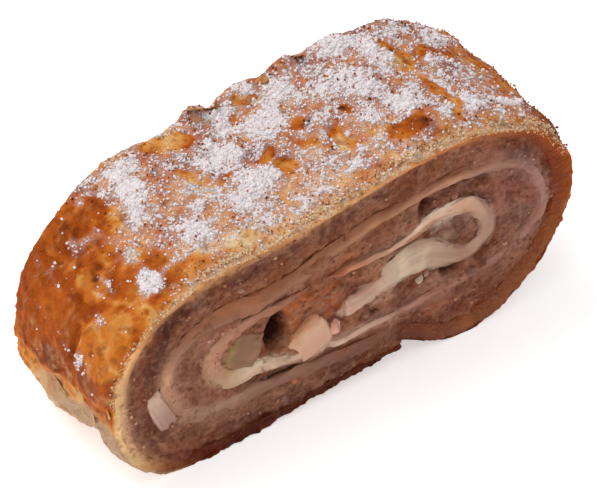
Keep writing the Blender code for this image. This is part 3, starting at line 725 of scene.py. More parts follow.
# %% Make the crust
OUTSIDE_POINTS = 98
outer_line = profile(fine=OUTSIDE_POINTS, coarse=5, cut_points=8)
outer_stops = walk(CRUST_START - 0.02, OUTER_END, spacing=0.42)
crust_points = sheet_points(outer_stops, outer_line, crust=True)
cover = sugar_cover(outer_stops["over"][:, None], outer_line[0][None, :] - FRONT)
cover = cover * smooth((outer_line[1][None, :] - 0.4) / 0.5)
crust = closed_piece("crust", crust_points, crust_colour(outer_stops, outer_line, crust_points),
                     {"sugar": cover})

# %% [markdown]
# ## The inner turns
# Inside the roll the same sheet never browned. It steamed between layers of paste, so it stays
# pale and soft, and both its sides show at a cut. The same profile is carried along the rest of
# the curve, now with more points down the cuts than across the hidden sides.

# %% Make the inner turns
ROUND_STRETCH = 6  # patterns on the cuts are this many times as long round the roll as across it
inner_line = profile(fine=8, coarse=8, cut_points=11)
inner_stops = walk(0, CRUST_START + 0.02, spacing=0.4)
inner_points = sheet_points(inner_stops, inner_line, crust=False)
along, across = np.broadcast_arrays(inner_stops["along"][:, None],
                                    inner_line[1] * inner_stops["thick"][:, None] / 2)
turns = closed_piece("dough_turns", inner_points, cut_colour(inner_stops, inner_line, inner_points),
                     {"round_roll": along / ROUND_STRETCH, "outward": across})

# %% [markdown]
# ## The walnut filling
# Ground walnuts, sugar and fruit make a moist paste that fills every gap between the turns. The
# paste could be hundreds of lumps, but only its two cut faces show. So it is one closed block
# inside the crust. Its front and back are grids of heights, and the turns of dough run through it.
# The paste sinks a little beside each turn, because a knife drags soft paste out of corners.


# %% Where the filling may be
def filling_outline(x):
    """Floor and roof of the filling at x: the middle line of the outermost turn below and above.

    Below, the tucked outer end carries the paste up to where it stops, and the foot beyond.
    """
    foot, wall, corner = 16, 18, 21  # stations where the foot, the right and the left wall begin
    tuck_ends, step_run = 13.0 * MM, 2.6 * MM
    stops = walk(foot, OUTER_END, spacing=0.2)
    q, line_x, line_z = stops["q"], stops["x"], stops["z"]
    right, roof, left = q <= wall, (q >= wall) & (q <= corner), q >= corner
    above = np.interp(x, line_x[roof][::-1], line_z[roof][::-1])
    tucked = np.interp(x, line_x[left], line_z[left])
    footed = np.interp(x, line_x[right], line_z[right])
    return tucked + (footed - tucked) * smooth((x - tuck_ends) / step_run), above


def nearest_dough(x, z):
    """The dough nearest to each place: the gap, below zero inside it, its station and its side.

    The gap is the distance to the nearest stop of the middle line, less half the thickness.
    """
    stops = walk(0, OUTER_END, spacing=0.8)
    gap, q, side = np.zeros(x.shape), np.zeros(x.shape), np.zeros(x.shape)
    for column, (px, pz) in enumerate(zip(x, z)):
        away_x, away_z = px[:, None] - stops["x"], pz[:, None] - stops["z"]
        reach = np.hypot(away_x, away_z) - stops["thick"] / 2
        k = reach.argmin(axis=1)
        rows = np.arange(len(k))
        gap[column], q[column] = reach[rows, k], stops["q"][k]
        side[column] = np.sign(away_x[rows, k] * stops["nx"][k] + away_z[rows, k] * stops["nz"][k])
    return gap, q, side


# %% Crumbs packed side by side
def cells(u, v, size, seed):
    """Distance from each place to the middle of the nearest crumb, and that crumb's own number.

    Each unit cell holds one crumb at a random place, so only nine cells need looking at.
    """
    jitter = np.random.RandomState(seed).uniform(0, 1, (3, TABLE, TABLE))
    u, v = u / size, v / size
    i, j = np.floor(u).astype(int), np.floor(v).astype(int)
    nearest, number = np.full(u.shape, 9.0), np.zeros(u.shape)
    for di in (-1, 0, 1):
        for dj in (-1, 0, 1):
            a, b = (i + di) % TABLE, (j + dj) % TABLE
            reach = np.hypot(i + di + jitter[0, a, b] - u, j + dj + jitter[1, a, b] - v)
            number = np.where(reach < nearest, jitter[2, a, b], number)
            nearest = np.minimum(nearest, reach)
    return nearest, number


# %% [markdown]
# ## The torn face of the paste
# A knife tears milled nuts more than it slices them, so the face is all small lumps and pits. Lumps
# could be strewn over a flat face, but they would look laid on. So each point of the face lies at
# its own depth behind the cut, added up from noise and from lists of cavities and lumps.

# %% Relief of the cut filling: x, z, half sizes, depth, in mm
CAVITIES = [(-45.8, 18.2, 3.4, 7.4, 1.2), (-17.0, 24.4, 3.6, 6.2, 6.0), (26.5, 20.2, 3.6, 1.7, 2.6),
            (-42.5, 39.5, 3, 2.4, 1.0), (19.3, 39.3, 1.8, 2.6, 1.8), (33.5, 39.0, 3.4, 2.0, 1.2),
            (-35.5, 28.5, 5.0, 4.5, 0.6), (6.0, 18.0, 4, 1.4, 0.8), (42.5, 33.0, 3, 3, 0.6),
            (-48, 31, 2, 7, 0.6), (28, 31.5, 2, 3, 0.8), (-15, 12.4, 7, 1.0, 0.8),
            (-22, 33.4, 5, 0.8, 0.6), (30, 41.6, 8, 1.0, 0.7)]
LUMPS = [(-7.5, 30.2, 7.0, 3.6, 0.8), (-2.4, 26.0, 3.4, 5.0, 0.8), (-2.7, 18.8, 2.2, 2.6, 0.9),
         (10.5, 38.3, 7.5, 3.6, 1.0), (6.0, 29.2, 5.8, 4.8, 1.1), (16.5, 19.5, 2.4, 1.6, 0.5),
         (38, 35, 5, 5, 0.4), (-8, 37.5, 8, 3, 0.3), (31.5, 16.5, 5, 4, 0.4)]


def filling_depth(x, z, gap, behind):
    """How far the paste lies inside the cut: layers, crumbs, cavities, and a groove by the dough."""
    around, out = layer_place(x, z)
    crumb = 0.26 * unevenness(around / (7 * MM) + 30, out / (3 * MM) + 30 + 7 * behind, 17)
    crumb += 0.34 * unevenness(x / (3.4 * MM) + 30, z / (3.4 * MM) + 7 * behind, 23)
    crumb += 0.26 * crumbliness(x, z + behind * 90 * MM, 1.5 * MM, 111)
    nearest, _ = cells(x + 0.8 * MM * crumb, z + behind * 40 * MM, 2.3 * MM, 115)
    groove = 0.18 * smooth(1 - gap / (1.3 * MM)) * smooth(1.5 * crumbliness(x, z, 6 * MM, 113))
    holes = spots(CAVITIES, x, z, 0.6) * (1 - behind) - spots(LUMPS, x, z, 0.8) * (1 - 0.5 * behind)
    sunk = 0.55 - 0.25 * smooth((out / MM - 13) / 4)
    sunk += 0.5 * crumbliness(x + 30 * MM * behind, z, 9 * MM, 118, 2)
    smeared = np.exp(-(gap / (0.7 * MM)) ** 2) * smooth(1.6 * crumbliness(x, z, 3.4 * MM, 119) - 0.1)
    return MM * (sunk + 1.1 * crumb + 0.24 * nearest + groove + holes - 0.8 * smeared)


# %% Colour of the cut filling
def paste_colour(x, z, dough, depth, behind):
    """Colour of the paste: its tones, some crumbs lighter or darker, dough seeping in, painted shade in deep
    holes.
    """
    gap, q, side = dough
    colour = paste_tone(x, z, behind)
    wander = 1.2 * MM * crumbliness(x, z, 3 * MM, 121)
    nearest, number = cells(x + wander, z + behind * 40 * MM, 1.7 * MM, 125)
    colour = blend(colour, "#b88a68", 0.16 * smooth((number - 0.66) / 0.3) * smooth(1.2 - 1.2 * nearest))
    colour = blend(colour, "#642814", 0.24 * smooth((0.2 - number) / 0.2) * smooth(1.2 - 1.2 * nearest))
    fine, number = cells(x + 0.5 * wander, z + behind * 40 * MM, 0.9 * MM, 127)
    colour = blend(colour, "#c09474", 0.3 * smooth((number - 0.8) / 0.2) * smooth(1.3 - 1.3 * fine))
    colour = blend(colour, "#481a10", 0.4 * smooth((0.14 - number) / 0.14) * smooth(1.3 - 1.3 * fine))
    mottle = crumbliness(x, z + behind * 70 * MM, 4.5 * MM, 131)
    colour = blend(colour, "#b8846a", 0.24 * smooth(mottle * 2 - 0.2))
    colour = blend(colour, "#4c1e10", 0.4 * smooth(-mottle * 2 - 0.2))
    past_edge = 0.5 * np.exp(-np.abs(gap) / seep(q, side, x, z))
    mixed = np.where(gap > 0, past_edge, 1 - past_edge)
    mixed = mixed * (1 - np.clip(1.3 * spots(LUMPS, x, z, 0.8), 0, 1) * (1 - behind))
    colour = colour + (dough_tone(q, side) - colour) * mixed[..., None]
    # Painted shade: the paste turns near-black brown where it lies more than 2 mm inside the cut.
    return blend(colour, "#3a140c", 0.95 * smooth((depth / MM - 2.0) / 2.2))


# %% Places on the cut face of the filling, a little closer together where the roll ends
FACE_COLUMNS, FACE_ROWS = 320, 146
x_low, x_high = -55.2 * MM, 54.4 * MM
swing = np.linspace(-1, 1, FACE_COLUMNS)
swing = 0.85 * swing + 0.15 * np.sin(swing * np.pi / 2)
columns_x = (x_low + x_high) / 2 + (x_high - x_low) / 2 * swing
floor_z, roof_z = filling_outline(columns_x)
face_x = np.repeat(columns_x[:, None], FACE_ROWS, axis=1)
face_z = floor_z[:, None] + (roof_z - floor_z)[:, None] * np.linspace(0, 1, FACE_ROWS)
dough = nearest_dough(face_x, face_z)
gap = dough[0]
front_depth, back_depth = (filling_depth(face_x, face_z, gap, behind) for behind in (0, 1))
print("the paste lies up to", round(float(front_depth.max()) / MM, 1), "mm inside the front cut")


# %% Make the filling: each ring runs up its front face and down its back face
def front_and_back(front, back):
    """Two faces of the block as one row of closed rings."""
    return np.concatenate([front, back[:, ::-1]], axis=1)


filling_points = settle(front_and_back(face_x, face_x),
                        front_and_back(FRONT + front_depth, BACK - back_depth),
                        front_and_back(face_z, face_z))
ring_round, ring_out = layer_place(front_and_back(face_x, face_x), front_and_back(face_z, face_z))
paste = front_and_back(paste_colour(face_x, face_z, dough, front_depth, 0),
                       paste_colour(face_x, face_z, dough, back_depth, 1))
filling = closed_piece("ground_walnut_filling", filling_points, paste,
                       {"round_roll": ring_round / ROUND_STRETCH, "outward": ring_out})

# %% [markdown]
# ## Diced fruit
# Diced apple stews inside the roll: the cubes keep their form, but corners round off and faces
# turn glassy. Each is a superellipsoid, a ball pushed out towards its box, with uneven skin. The
# cut slices straight through some of them, so their front is held flat at the cut.

# %% Fruit: place, half sizes in mm, turn about Y in degrees, colours at its low and high end
FRUIT = [("fruit_dice_pale", (-8.8, -15.9, 19.0), (5.0, 5.4, 5.0), -24, "#c8947a", "#dcb492"),
         ("fruit_dice_green", (-25.3, -16.3, 24.0), (4.6, 4.8, 4.5), 25, "#875e36", "#804f32"),
         ("fruit_sliver", (-45.6, -17.4, 18.4), (2.3, 3.7, 6.4), -24, "#9c7264", "#ccaa94"),
         ("fruit_dice_rear", (-18.5, 15.6, 24.0), (4.8, 5.1, 4.4), 18, "#c99a70", "#e2bf98"),
         ("fruit_dice_rear_small", (40.6, 16.6, 27.5), (3.5, 4.1, 4.3), -20, "#b98c68", "#d9b48c")]


def towards_box(value):
    """A sine or cosine pushed out towards the box: its size to the power 0.4, with its sign."""
    return np.sign(value) * np.abs(value) ** 0.4


def fruit_points(place, half, turn, seed):
    """A superellipsoid with uneven skin, turned about Y and held flat at the cuts.

    A ball's x, y and z are products of sines and cosines of two angles. Here each of them is
    first pushed out towards the box, so that the sides turn flat and the corners stay round.
    """
    around = np.linspace(0, 2 * np.pi, 72, endpoint=False)[None, :]
    up = np.linspace(-np.pi / 2, np.pi / 2, 48)[1:-1, None]
    unit = np.stack([towards_box(np.cos(up)) * towards_box(np.cos(around)),
                     towards_box(np.cos(up)) * towards_box(np.sin(around)),
                     towards_box(np.sin(up)) + 0 * around], axis=-1)
    skin = 1 + 0.08 * unevenness(unit[..., 0] * 2.1 + 9, unit[..., 2] * 2.1 + unit[..., 1] * 1.3 + 9, seed)
    skin += 0.035 * unevenness(unit[..., 0] * 6 + 9, unit[..., 2] * 6 + unit[..., 1] * 5 + 9, seed + 1)
    size = unit * skin[..., None] * np.array(half) * MM
    c, s = cos(radians(turn)), sin(radians(turn))
    x, y, z = size[..., 0] * c + size[..., 2] * s, size[..., 1], size[..., 2] * c - size[..., 0] * s
    middle = np.array(place) * MM
    y = np.clip(y + middle[1], FRONT - 0.1 * MM + 3 * MM * (skin - 1), BACK - 0.2 * MM)
    return settle(x + middle[0], y, z + middle[2]), unit


# %% Make the fruit: skin on the green piece, and syrup on top of the pale one
fruit = {}
for seed, (name, place, half, turn, low_tone, high_tone) in enumerate(FRUIT):
    points, unit = fruit_points(place, half, turn, 140 + seed)
    along_x, along_z = 5 * MM * unit[..., 0], 5 * MM * unit[..., 2]
    patch = 0.5 + 0.5 * crumbliness(along_x + 9 * MM, along_z, 3 * MM, 150 + seed)
    green = smooth((-unit[..., 0] - 0.45) / 0.4) * (name == "fruit_dice_green")
    tone = shade(smooth(0.5 + 0.4 * unit[..., 2] + 0.6 * (patch - 0.5)), [(0, low_tone), (1, high_tone)])
    tone = blend(tone, "#80722c", 0.8 * green)
    amber = smooth((unit[..., 2] - 0.35 + 0.5 * (patch - 0.5)) / 0.5) * (name == "fruit_dice_pale")
    tone = blend(tone, "#b0622c", 0.6 * amber)
    fruit[name] = closed_piece("stewed_" + name, points, tone, {})

# %% [markdown]
# ## Nut pieces, crumbs and clumps of sugar
# Some walnut pieces escape the mill and shine in the paste, and powdered sugar falls in clumps
# that are too big to be paint. Each kind is one small uneven ball, repeated: every copy gets its
# own place, size, squash and turn as arrays, and the copies form a single mesh. Twenty faces are
# enough for a crumb. The few larger nut pieces are the same ball with each face cut in four twice.


# %% Small uneven balls
def ball():
    """The twelve corners and twenty faces of an icosahedron with radius 1."""
    g = (1 + 5 ** 0.5) / 2
    corners = np.array([(-1, g, 0), (1, g, 0), (-1, -g, 0), (1, -g, 0), (0, -1, g), (0, 1, g),
                        (0, -1, -g), (0, 1, -g), (g, 0, -1), (g, 0, 1), (-g, 0, -1), (-g, 0, 1)])
    faces = np.array([(0, 11, 5), (0, 5, 1), (0, 1, 7), (0, 7, 10), (0, 10, 11), (1, 5, 9), (5, 11, 4),
                      (11, 10, 2), (10, 7, 6), (7, 1, 8), (3, 9, 4), (3, 4, 2), (3, 2, 6), (3, 6, 8),
                      (3, 8, 9), (4, 9, 5), (2, 4, 11), (6, 2, 10), (8, 6, 7), (9, 8, 1)])
    return corners / np.linalg.norm(corners[0]), faces


def finer(corners, faces):
    """Each face cut into four: the middles of its edges join the corners, at the same radius."""
    edges = np.sort(np.concatenate([faces[:, [0, 1]], faces[:, [1, 2]], faces[:, [2, 0]]]), axis=1)
    pairs, where = np.unique(edges, axis=0, return_inverse=True)
    middles = corners[pairs].mean(axis=1)
    middles /= np.linalg.norm(middles, axis=1, keepdims=True)
    a, b, c = where.ravel().reshape(3, -1) + len(corners)
    p, q, r = faces.T
    split = np.concatenate([np.stack(face, axis=1) for face in
                            ((p, a, c), (a, q, b), (c, b, r), (a, b, c))])
    return np.concatenate([corners, middles]), split


# %% Many copies of one shape as a single mesh
def scatter(name, places, sizes, tones, seed, shape, squash=0.35, rough=0.25):
    """Copies of a shape as one mesh: each corner is turned, squashed, scaled and moved.

    Each copy is turned by its own random unit quaternion w, x, y, z, written out as a matrix.
    """
    corners, faces = shape
    rng = np.random.RandomState(seed)
    n = len(places)
    w, x, y, z = rng.normal(size=(4, n))
    norm = np.sqrt(w * w + x * x + y * y + z * z)
    w, x, y, z = w / norm, x / norm, y / norm, z / norm
    turn = np.stack([1 - 2 * (y * y + z * z), 2 * (x * y - w * z), 2 * (x * z + w * y),
                     2 * (x * y + w * z), 1 - 2 * (x * x + z * z), 2 * (y * z - w * x),
                     2 * (x * z - w * y), 2 * (y * z + w * x), 1 - 2 * (x * x + y * y)],
                    axis=1).reshape(n, 3, 3)
    lumps = corners[None] * rng.uniform(1 - rough, 1 + rough, (n, len(corners), 1))
    lumps = lumps * rng.uniform(1 - squash, 1 + 0.3 * squash, (n, 1, 3))
    lumps = np.einsum("nij,nkj->nki", turn, lumps) * sizes[:, None, None] + places[:, None, :]
    all_faces = faces[None] + np.arange(n)[:, None, None] * len(corners)
    return add_piece(name, lumps.reshape(-1, 3), all_faces.reshape(-1, 3).tolist(), {},
                     {"tone": np.repeat(tones, len(corners), axis=0)})


# %% Walnut crumbs in both cuts, clear of the dough and the fruit
WALNUT_CRUMBS = 700
rng = np.random.RandomState(7)
pick = rng.randint(0, face_x.size, WALNUT_CRUMBS)
under_fruit = [(place[0], place[2], 1.2 * half[0], 1.2 * half[2], 1) for _, place, half, *_ in FRUIT]
pick_x, pick_z = face_x.ravel()[pick], face_z.ravel()[pick]
loose = (gap.ravel()[pick] > 0.3 * MM) & (spots(under_fruit, pick_x, pick_z, 0.2) == 0)
pick, pick_x, pick_z = pick[loose], pick_x[loose], pick_z[loose]
at_back = rng.uniform(size=len(pick)) < 0.5
pick_y = np.where(at_back, BACK - back_depth.ravel()[pick], FRONT + front_depth.ravel()[pick])
crumb_sizes = 1.4 * MM * rng.uniform(0.18, 0.5, len(pick)) ** 1.3
crumb_tones = shade(rng.uniform(0, 1, len(pick)), [(0, "#7c3f24"), (0.5, "#985838"), (0.85, "#b07a58"),
                                                     (1, "#d0a888")])
crumbs = scatter("walnut_crumbs", settle(pick_x, pick_y, pick_z), crumb_sizes, crumb_tones,
                 seed=8, shape=ball())

# %% Walnut pieces in both cuts: x, z, radius in mm, colour
NUTS = [(-2.7, 18.9, 2.0, "#dca088"), (-5, 27.6, 1.3, "#8a4a20"), (-3.4, 28.8, 1.0, "#9a5a2c"),
        (-2.4, 31.6, 1.0, "#8a4420"), (-13, 31.5, 0.8, "#6a3018"), (-10.5, 28, 0.7, "#7a3c1c"),
        (-8, 31, 0.6, "#8c4c24"), (-14.2, 10.6, 1.5, "#a04c20"), (-12.9, 9.4, 1.1, "#b06030"),
        (0, 11.2, 1.0, "#8a4022"), (18.2, 20.6, 1.5, "#b89a80"), (20, 21.2, 0.8, "#a07a60"),
        (31, 17, 1.2, "#74402c"), (50, 34, 1.0, "#7c4028"), (51.3, 27, 0.9, "#8c4c2c"),
        (5, 17.3, 1.4, "#8c5230"), (7.6, 16.6, 1.1, "#7c4428"), (-26, 40.2, 1.1, "#a07058"),
        (-24.4, 33, 1.0, "#96562e"), (36, 40, 0.9, "#74382c"), (27, 38.2, 1.1, "#9a5a40"),
        (-20, 13.6, 0.8, "#5a3028"), (41, 38.5, 0.8, "#a0685c"), (33, 7.4, 0.8, "#7c4630"),
        (43.7, 22.4, 0.9, "#70402e")]
nut_x, nut_z, nut_r = (np.array([nut[k] for nut in NUTS]) * MM for k in range(3))
nut_tones = np.array([linear(nut[3]) for nut in NUTS])
nearest_cell = [np.argmin((face_x - a) ** 2 + (face_z - b) ** 2) for a, b in zip(nut_x, nut_z)]
nut_sunk = nut_r * np.clip(0.1 + 0.3 * nut_r / MM, 0, 0.72)
front_nuts = settle(nut_x, FRONT + front_depth.ravel()[nearest_cell] + nut_sunk, nut_z)
back_nuts = settle(nut_x, BACK - back_depth.ravel()[nearest_cell] - nut_sunk, nut_z)
nuts = scatter("walnut_pieces", np.concatenate([front_nuts, back_nuts]), np.tile(nut_r, 2),
               np.tile(nut_tones, (2, 1)), seed=9, shape=finer(*finer(*ball())), rough=0.08)

# %% [markdown]
# ## Loose flakes and crumbs of the crust
# Strudel dough is brushed with butter in leaves, so the outermost leaf breaks up in baking. Thin
# flakes stand up from the crust, and the knife leaves a line of golden crumbs along both rims.
# A flake is a closed leaf: flat ovals threaded along a short line that curls up at one end.
# Crumbs are the small ball again, drawn by chance at the grid points on the outside of the crust.

# %% The outside of the crust as a map of places and directions
outside = slice(2, OUTSIDE_POINTS - 2)
over_grid = outer_stops["over"][:, None] + 0 * outer_line[0][None, outside]
back_grid = outer_line[0][None, outside] - FRONT + 0 * over_grid
cover_grid = cover[:, outside]
surface = crust_points[:, outside]
outward = point_normals(surface)
outward *= np.sign((outward * (surface - surface.mean(axis=(0, 1)))).sum(axis=-1, keepdims=True))
print("places on the crust:", over_grid.size)

# %% Loose flakes: over, back, length, width in mm, turn in degrees, lift in mm, colour
LEAVES = [(29, 9, 5, 2.0, 85, 0.5, "#dcb080"), (30.5, 15, 5, 1.8, 95, 0.5, "#d8a468"),
          (28, 24, 8, 2.2, 88, 0.5, "#c8924e"), (34, 2, 3, 1.6, 80, 0.6, "#d8a060"),
          (57, 2, 4, 1.8, 95, 0.5, "#d09a58"), (94, 39.5, 5, 3.6, 70, 1.2, "#d9a870"),
          (98, 39.5, 4, 3.0, 110, 1.0, "#d0a060"), (106, 37, 5, 2.0, 20, 0.6, "#b8703a"),
          (110, 39, 4, 2.4, 120, 0.9, "#c98d55"), (120, 39.5, 5, 2.4, 60, 0.8, "#c07c3c"),
          (146, 39.5, 3, 2.0, 100, 0.7, "#b56c30"), (137, 15, 7, 1.2, 86, 0.4, "#c8803c"),
          (137, 29, 8, 1.3, 95, 0.4, "#c07434"), (167, 3, 4, 1.8, 70, 0.5, "#b8682a"),
          (175, 30, 5, 1.8, 100, 0.5, "#a85c24")]


def leaf_points(row, column, length, width, turn, lift, seed):
    """A thin closed leaf on the crust: its middle line rises with the square of the way along it.

    Half its width follows the root of 1 minus x squared, as in an ellipse, with a torn outline.
    """
    u = np.linspace(0, 1, 16)[:, None]
    v = np.linspace(0, 2 * np.pi, 14, endpoint=False)[None, :]
    torn = 1 + 0.6 * unevenness(u * 5 + 3 * seed, np.sign(np.cos(v)) * 2 + 9, 160)
    half = width / 2 * np.sqrt(np.clip(1 - (2 * u - 1) ** 2, 0.02, 1)) * torn
    wave = 0.35 * unevenness(u * 3 + 5, np.cos(v) + 9 + seed, 161)
    height = -0.35 + 0.35 * smooth(2 * u) + lift * u ** 2 + wave * u + 0.08 * np.sin(v)
    normal = outward[row, column]
    ahead = surface[min(row + 4, len(surface) - 1), column] - surface[max(row - 4, 0), column]
    ahead = ahead - normal * (ahead @ normal)
    ahead /= np.linalg.norm(ahead)
    sideways = np.cross(normal, ahead)
    c, s = cos(radians(turn)), sin(radians(turn))
    first, second = c * ahead + s * sideways, c * sideways - s * ahead
    flat = (u - 0.5)[..., None] * length * first + (half * np.cos(v))[..., None] * second
    return surface[row, column] + MM * (flat + height[..., None] * normal)


# %% Make the flakes, all as one mesh
leaf_places, leaf_tones = [], []
for seed, (leaf_over, leaf_back, length, width, turn, lift, tone) in enumerate(LEAVES):
    row = np.abs(outer_stops["over"] / MM - leaf_over).argmin()
    column = np.abs(back_grid[0] / MM - leaf_back).argmin()
    points = leaf_points(row, column, length, width, turn, lift, seed)
    spotty = crumbliness(points[..., 0] + points[..., 2], points[..., 1], 1.5 * MM, 163)
    colour = blend(np.broadcast_to(linear(tone), points.shape), "#b06a2c", 0.5 * smooth(spotty))
    places, faces = closed_grid(points)
    leaf_places.append(places)
    leaf_tones.append(with_ends(colour))
leaf_faces = [[corner + k * len(places) for corner in face] for k in range(len(LEAVES)) for face in faces]
leaf_places = np.concatenate(leaf_places)
leaf_places[:, 2] = np.maximum(leaf_places[:, 2], 0.1 * MM)
leaves = add_piece("crust_flakes", leaf_places, leaf_faces, {"sugar": np.full(len(leaf_places), 0.12)},
                   {"tone": np.concatenate(leaf_tones)})


# %% Golden crumbs on the crust, most of them along its rims
def pick_by(chance, count):
    """Draw places on the crust, each with a probability in proportion to its chance."""
    return rng.choice(chance.size, count, p=(chance / chance.sum()).ravel())


CRUST_CRUMBS, KNIFE_CRUMBS, TORN_CRUMBS = 3400, 1300, 1700
over_mm = over_grid / MM
rim_chance = np.exp(-back_grid / (1.3 * MM)) + 0.6 * np.exp(-(CUT_TO_CUT - back_grid) / (1.2 * MM)) + 0.05
rim_chance = rim_chance * smooth((over_mm - 54) / 12) * smooth((186 - over_mm) / 14)
at_knife = np.exp(-back_grid / (0.5 * MM)) * smooth((over_mm - 56) / 16) * smooth((166 - over_mm) / 20)
at_knife *= smooth(2 * crumbliness(over_grid, back_grid, 5 * MM, 173) + 0.4)
chosen = np.append(pick_by(rim_chance, CRUST_CRUMBS), pick_by(at_knife, KNIFE_CRUMBS))
rim_radius = (0.1 + 0.26 * rng.uniform(size=len(chosen)) ** 2) * MM
rim_radius[CRUST_CRUMBS:] = (0.14 + 0.3 * rng.uniform(size=KNIFE_CRUMBS) ** 2) * MM
rim_places = surface.reshape(-1, 3)[chosen] + rng.normal(size=(len(chosen), 3)) * 0.25 * MM
rim_places += outward.reshape(-1, 3)[chosen] * rim_radius[:, None] * 0.3
rim_tones = shade(browning(over_grid.ravel()[chosen], back_grid.ravel()[chosen])
                  + rng.normal(size=len(chosen)) * 0.16, BAKED)
rim_tones[CRUST_CRUMBS:] = blend(rim_tones[CRUST_CRUMBS:], "#f6dcb6", 0.75)

# %% More crumbs stick to the cut edge of the crust itself, where the knife tore the leaves
torn_edge = np.flatnonzero((outer_line[2] < 0) & (outer_line[1] > 0.15))
on_top = np.flatnonzero(np.abs(outer_stops["over"] - 100 * MM) < 64 * MM)
rows = rng.choice(on_top, TORN_CRUMBS)
edge_radius = (0.08 + 0.24 * rng.uniform(size=TORN_CRUMBS) ** 2) * MM
edge_places = crust_points[rows, rng.choice(torn_edge, TORN_CRUMBS)]
edge_places = edge_places + rng.normal(size=edge_places.shape) * [0.15 * MM, 0.06 * MM, 0.15 * MM]
edge_tones = shade(rng.uniform(0, 1, TORN_CRUMBS), [(0, "#cc8c54"), (0.5, "#ecc494"), (1, "#f8e6cc")])
all_places = np.concatenate([rim_places, edge_places])
all_radii = np.append(rim_radius, edge_radius)
all_places[:, 2] = np.maximum(all_places[:, 2], 1.4 * all_radii)
rim_crumbs = scatter("crust_crumbs", all_places, all_radii, np.concatenate([rim_tones, edge_tones]),
                     seed=11, shape=ball(), squash=0.5, rough=0.3)

# %% [markdown]
# ## Clumps of sugar on the crust
# Powdered sugar takes up damp and sticks together. Fine clumps show one by one where the cover is
# thin, so they sit on top. Large ones lie where it is thick and are sunk into it by a third of
# their radius. The dust between them is left to the material of the crust.

# %% Clumps of powdered sugar: fine ones where the cover is thin, large ones where it is thick
FINE_CLUMPS, LARGE_CLUMPS = 6800, 2600
under_sieve = (over_mm > 30) & (over_mm < 168)
thin = smooth((cover_grid - 0.1) / 0.4) * smooth((1.15 - cover_grid) / 0.6)
thin_chance = (thin + 0.03 * smooth((over_mm - 45) / 12) + 0.003) * under_sieve
thick_chance = (np.clip(cover_grid - 0.55, 0, 1) ** 1.5 + 1e-6) * under_sieve
chosen = np.append(pick_by(thin_chance, FINE_CLUMPS), pick_by(thick_chance, LARGE_CLUMPS))
clump_sizes = (0.1 + 0.3 * rng.uniform(size=len(chosen)) ** 2.6) * MM
clump_sizes[FINE_CLUMPS:] = (0.3 + 0.5 * rng.uniform(size=LARGE_CLUMPS) ** 2) * MM
clump_places = surface.reshape(-1, 3)[chosen] + rng.normal(size=(len(chosen), 3)) * 0.15 * MM
raised = np.where(np.arange(len(chosen)) < FINE_CLUMPS, 0.35, -0.35) * clump_sizes
clump_places += outward.reshape(-1, 3)[chosen] * raised[:, None]
clump_tones = shade(rng.uniform(0, 1, len(chosen)), [(0, "#eadfe2"), (1, "#faf4f8")])
sugar_clumps = scatter("sugar_clumps", clump_places, clump_sizes, clump_tones,
                       seed=10, shape=ball(), rough=0.3)

# %% [markdown]
# ## Finished pieces for plain solids
# The imported solids have the right form and no finish. Each is hidden here, and the finished piece
# that was built on the same curve or box stands in its place.

# %% Which piece stands for which solid
for piece in (crust, turns):
    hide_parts("pastry_roll")
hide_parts("walnut_filling")
for name, piece in fruit.items():
    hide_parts(name)
print("solids that have a finished piece:", 2 + len(fruit))

# %% [markdown]
# ## Finishes
# A baked and cut food has no flat colour. The big changes of tone are worked out above and lie
# on the points as "tone". The shader adds what is finer than the mesh: pores, freckles, grains
# of sugar and wet crumbs. Every pattern reads object coordinates, so it is as large as it is real.
# The scale of a noise is in lumps to the metre, so lumps 1 mm across need a scale of 1000.


# %% One helper for nodes
def node(tree, kind, links=None, **settings):
    """Adds one node; settings are its options, links are socket values or sockets to join."""
    made = tree.nodes.new(kind)
    for key, value in settings.items():
        setattr(made, key, value)
    for key, value in (links or {}).items():
        if isinstance(value, bpy.types.NodeSocket):
            tree.links.new(value, made.inputs[key])
        else:
            made.inputs[key].default_value = value
    return made


def set_constants(shader, constants):
    """Sets sockets of a shader that stay the same all over the piece."""
    for socket, value in constants.items():
        shader.inputs[socket].default_value = value


def start_finish(name, pieces):
    """A new material on some pieces: its tree, its shader, object coordinates and the tone."""
    material = bpy.data.materials.new(name)
    material.use_nodes = True
    tree = material.node_tree
    shader = tree.nodes["Principled BSDF"]
    for piece in pieces:
        piece.data.materials.append(material)
    place = node(tree, "ShaderNodeTexCoord").outputs["Object"]
    tone = node(tree, "ShaderNodeAttribute", attribute_name="tone").outputs["Color"]
    print("finish", name, "on", len(pieces), "pieces")
    return tree, shader, place, tone


def along_layers(tree, place):
    """Coordinates that follow the rolled layers: round the roll, out from its core, and depth."""
    around = node(tree, "ShaderNodeAttribute", attribute_name="round_roll").outputs["Fac"]
    out = node(tree, "ShaderNodeAttribute", attribute_name="outward").outputs["Fac"]
    depth = node(tree, "ShaderNodeSeparateXYZ", {0: place}).outputs["Y"]
    return node(tree, "ShaderNodeCombineXYZ", {0: around, 1: out, 2: depth}).outputs[0]


MIX = {"data_type": "RGBA"}  # its sockets 0, 6 and 7 are the factor and two colours, output 2 the mix

# %% [markdown]
# ### Baked crust under sugar
# The crust is dough that dried out in the oven: brown, matt and full of pores. The sugar on it
# could be a second thin mesh, but it is thinner than the crust is rough. So the material turns
# white wherever the height of sugar on the points is above a noise of clumps.

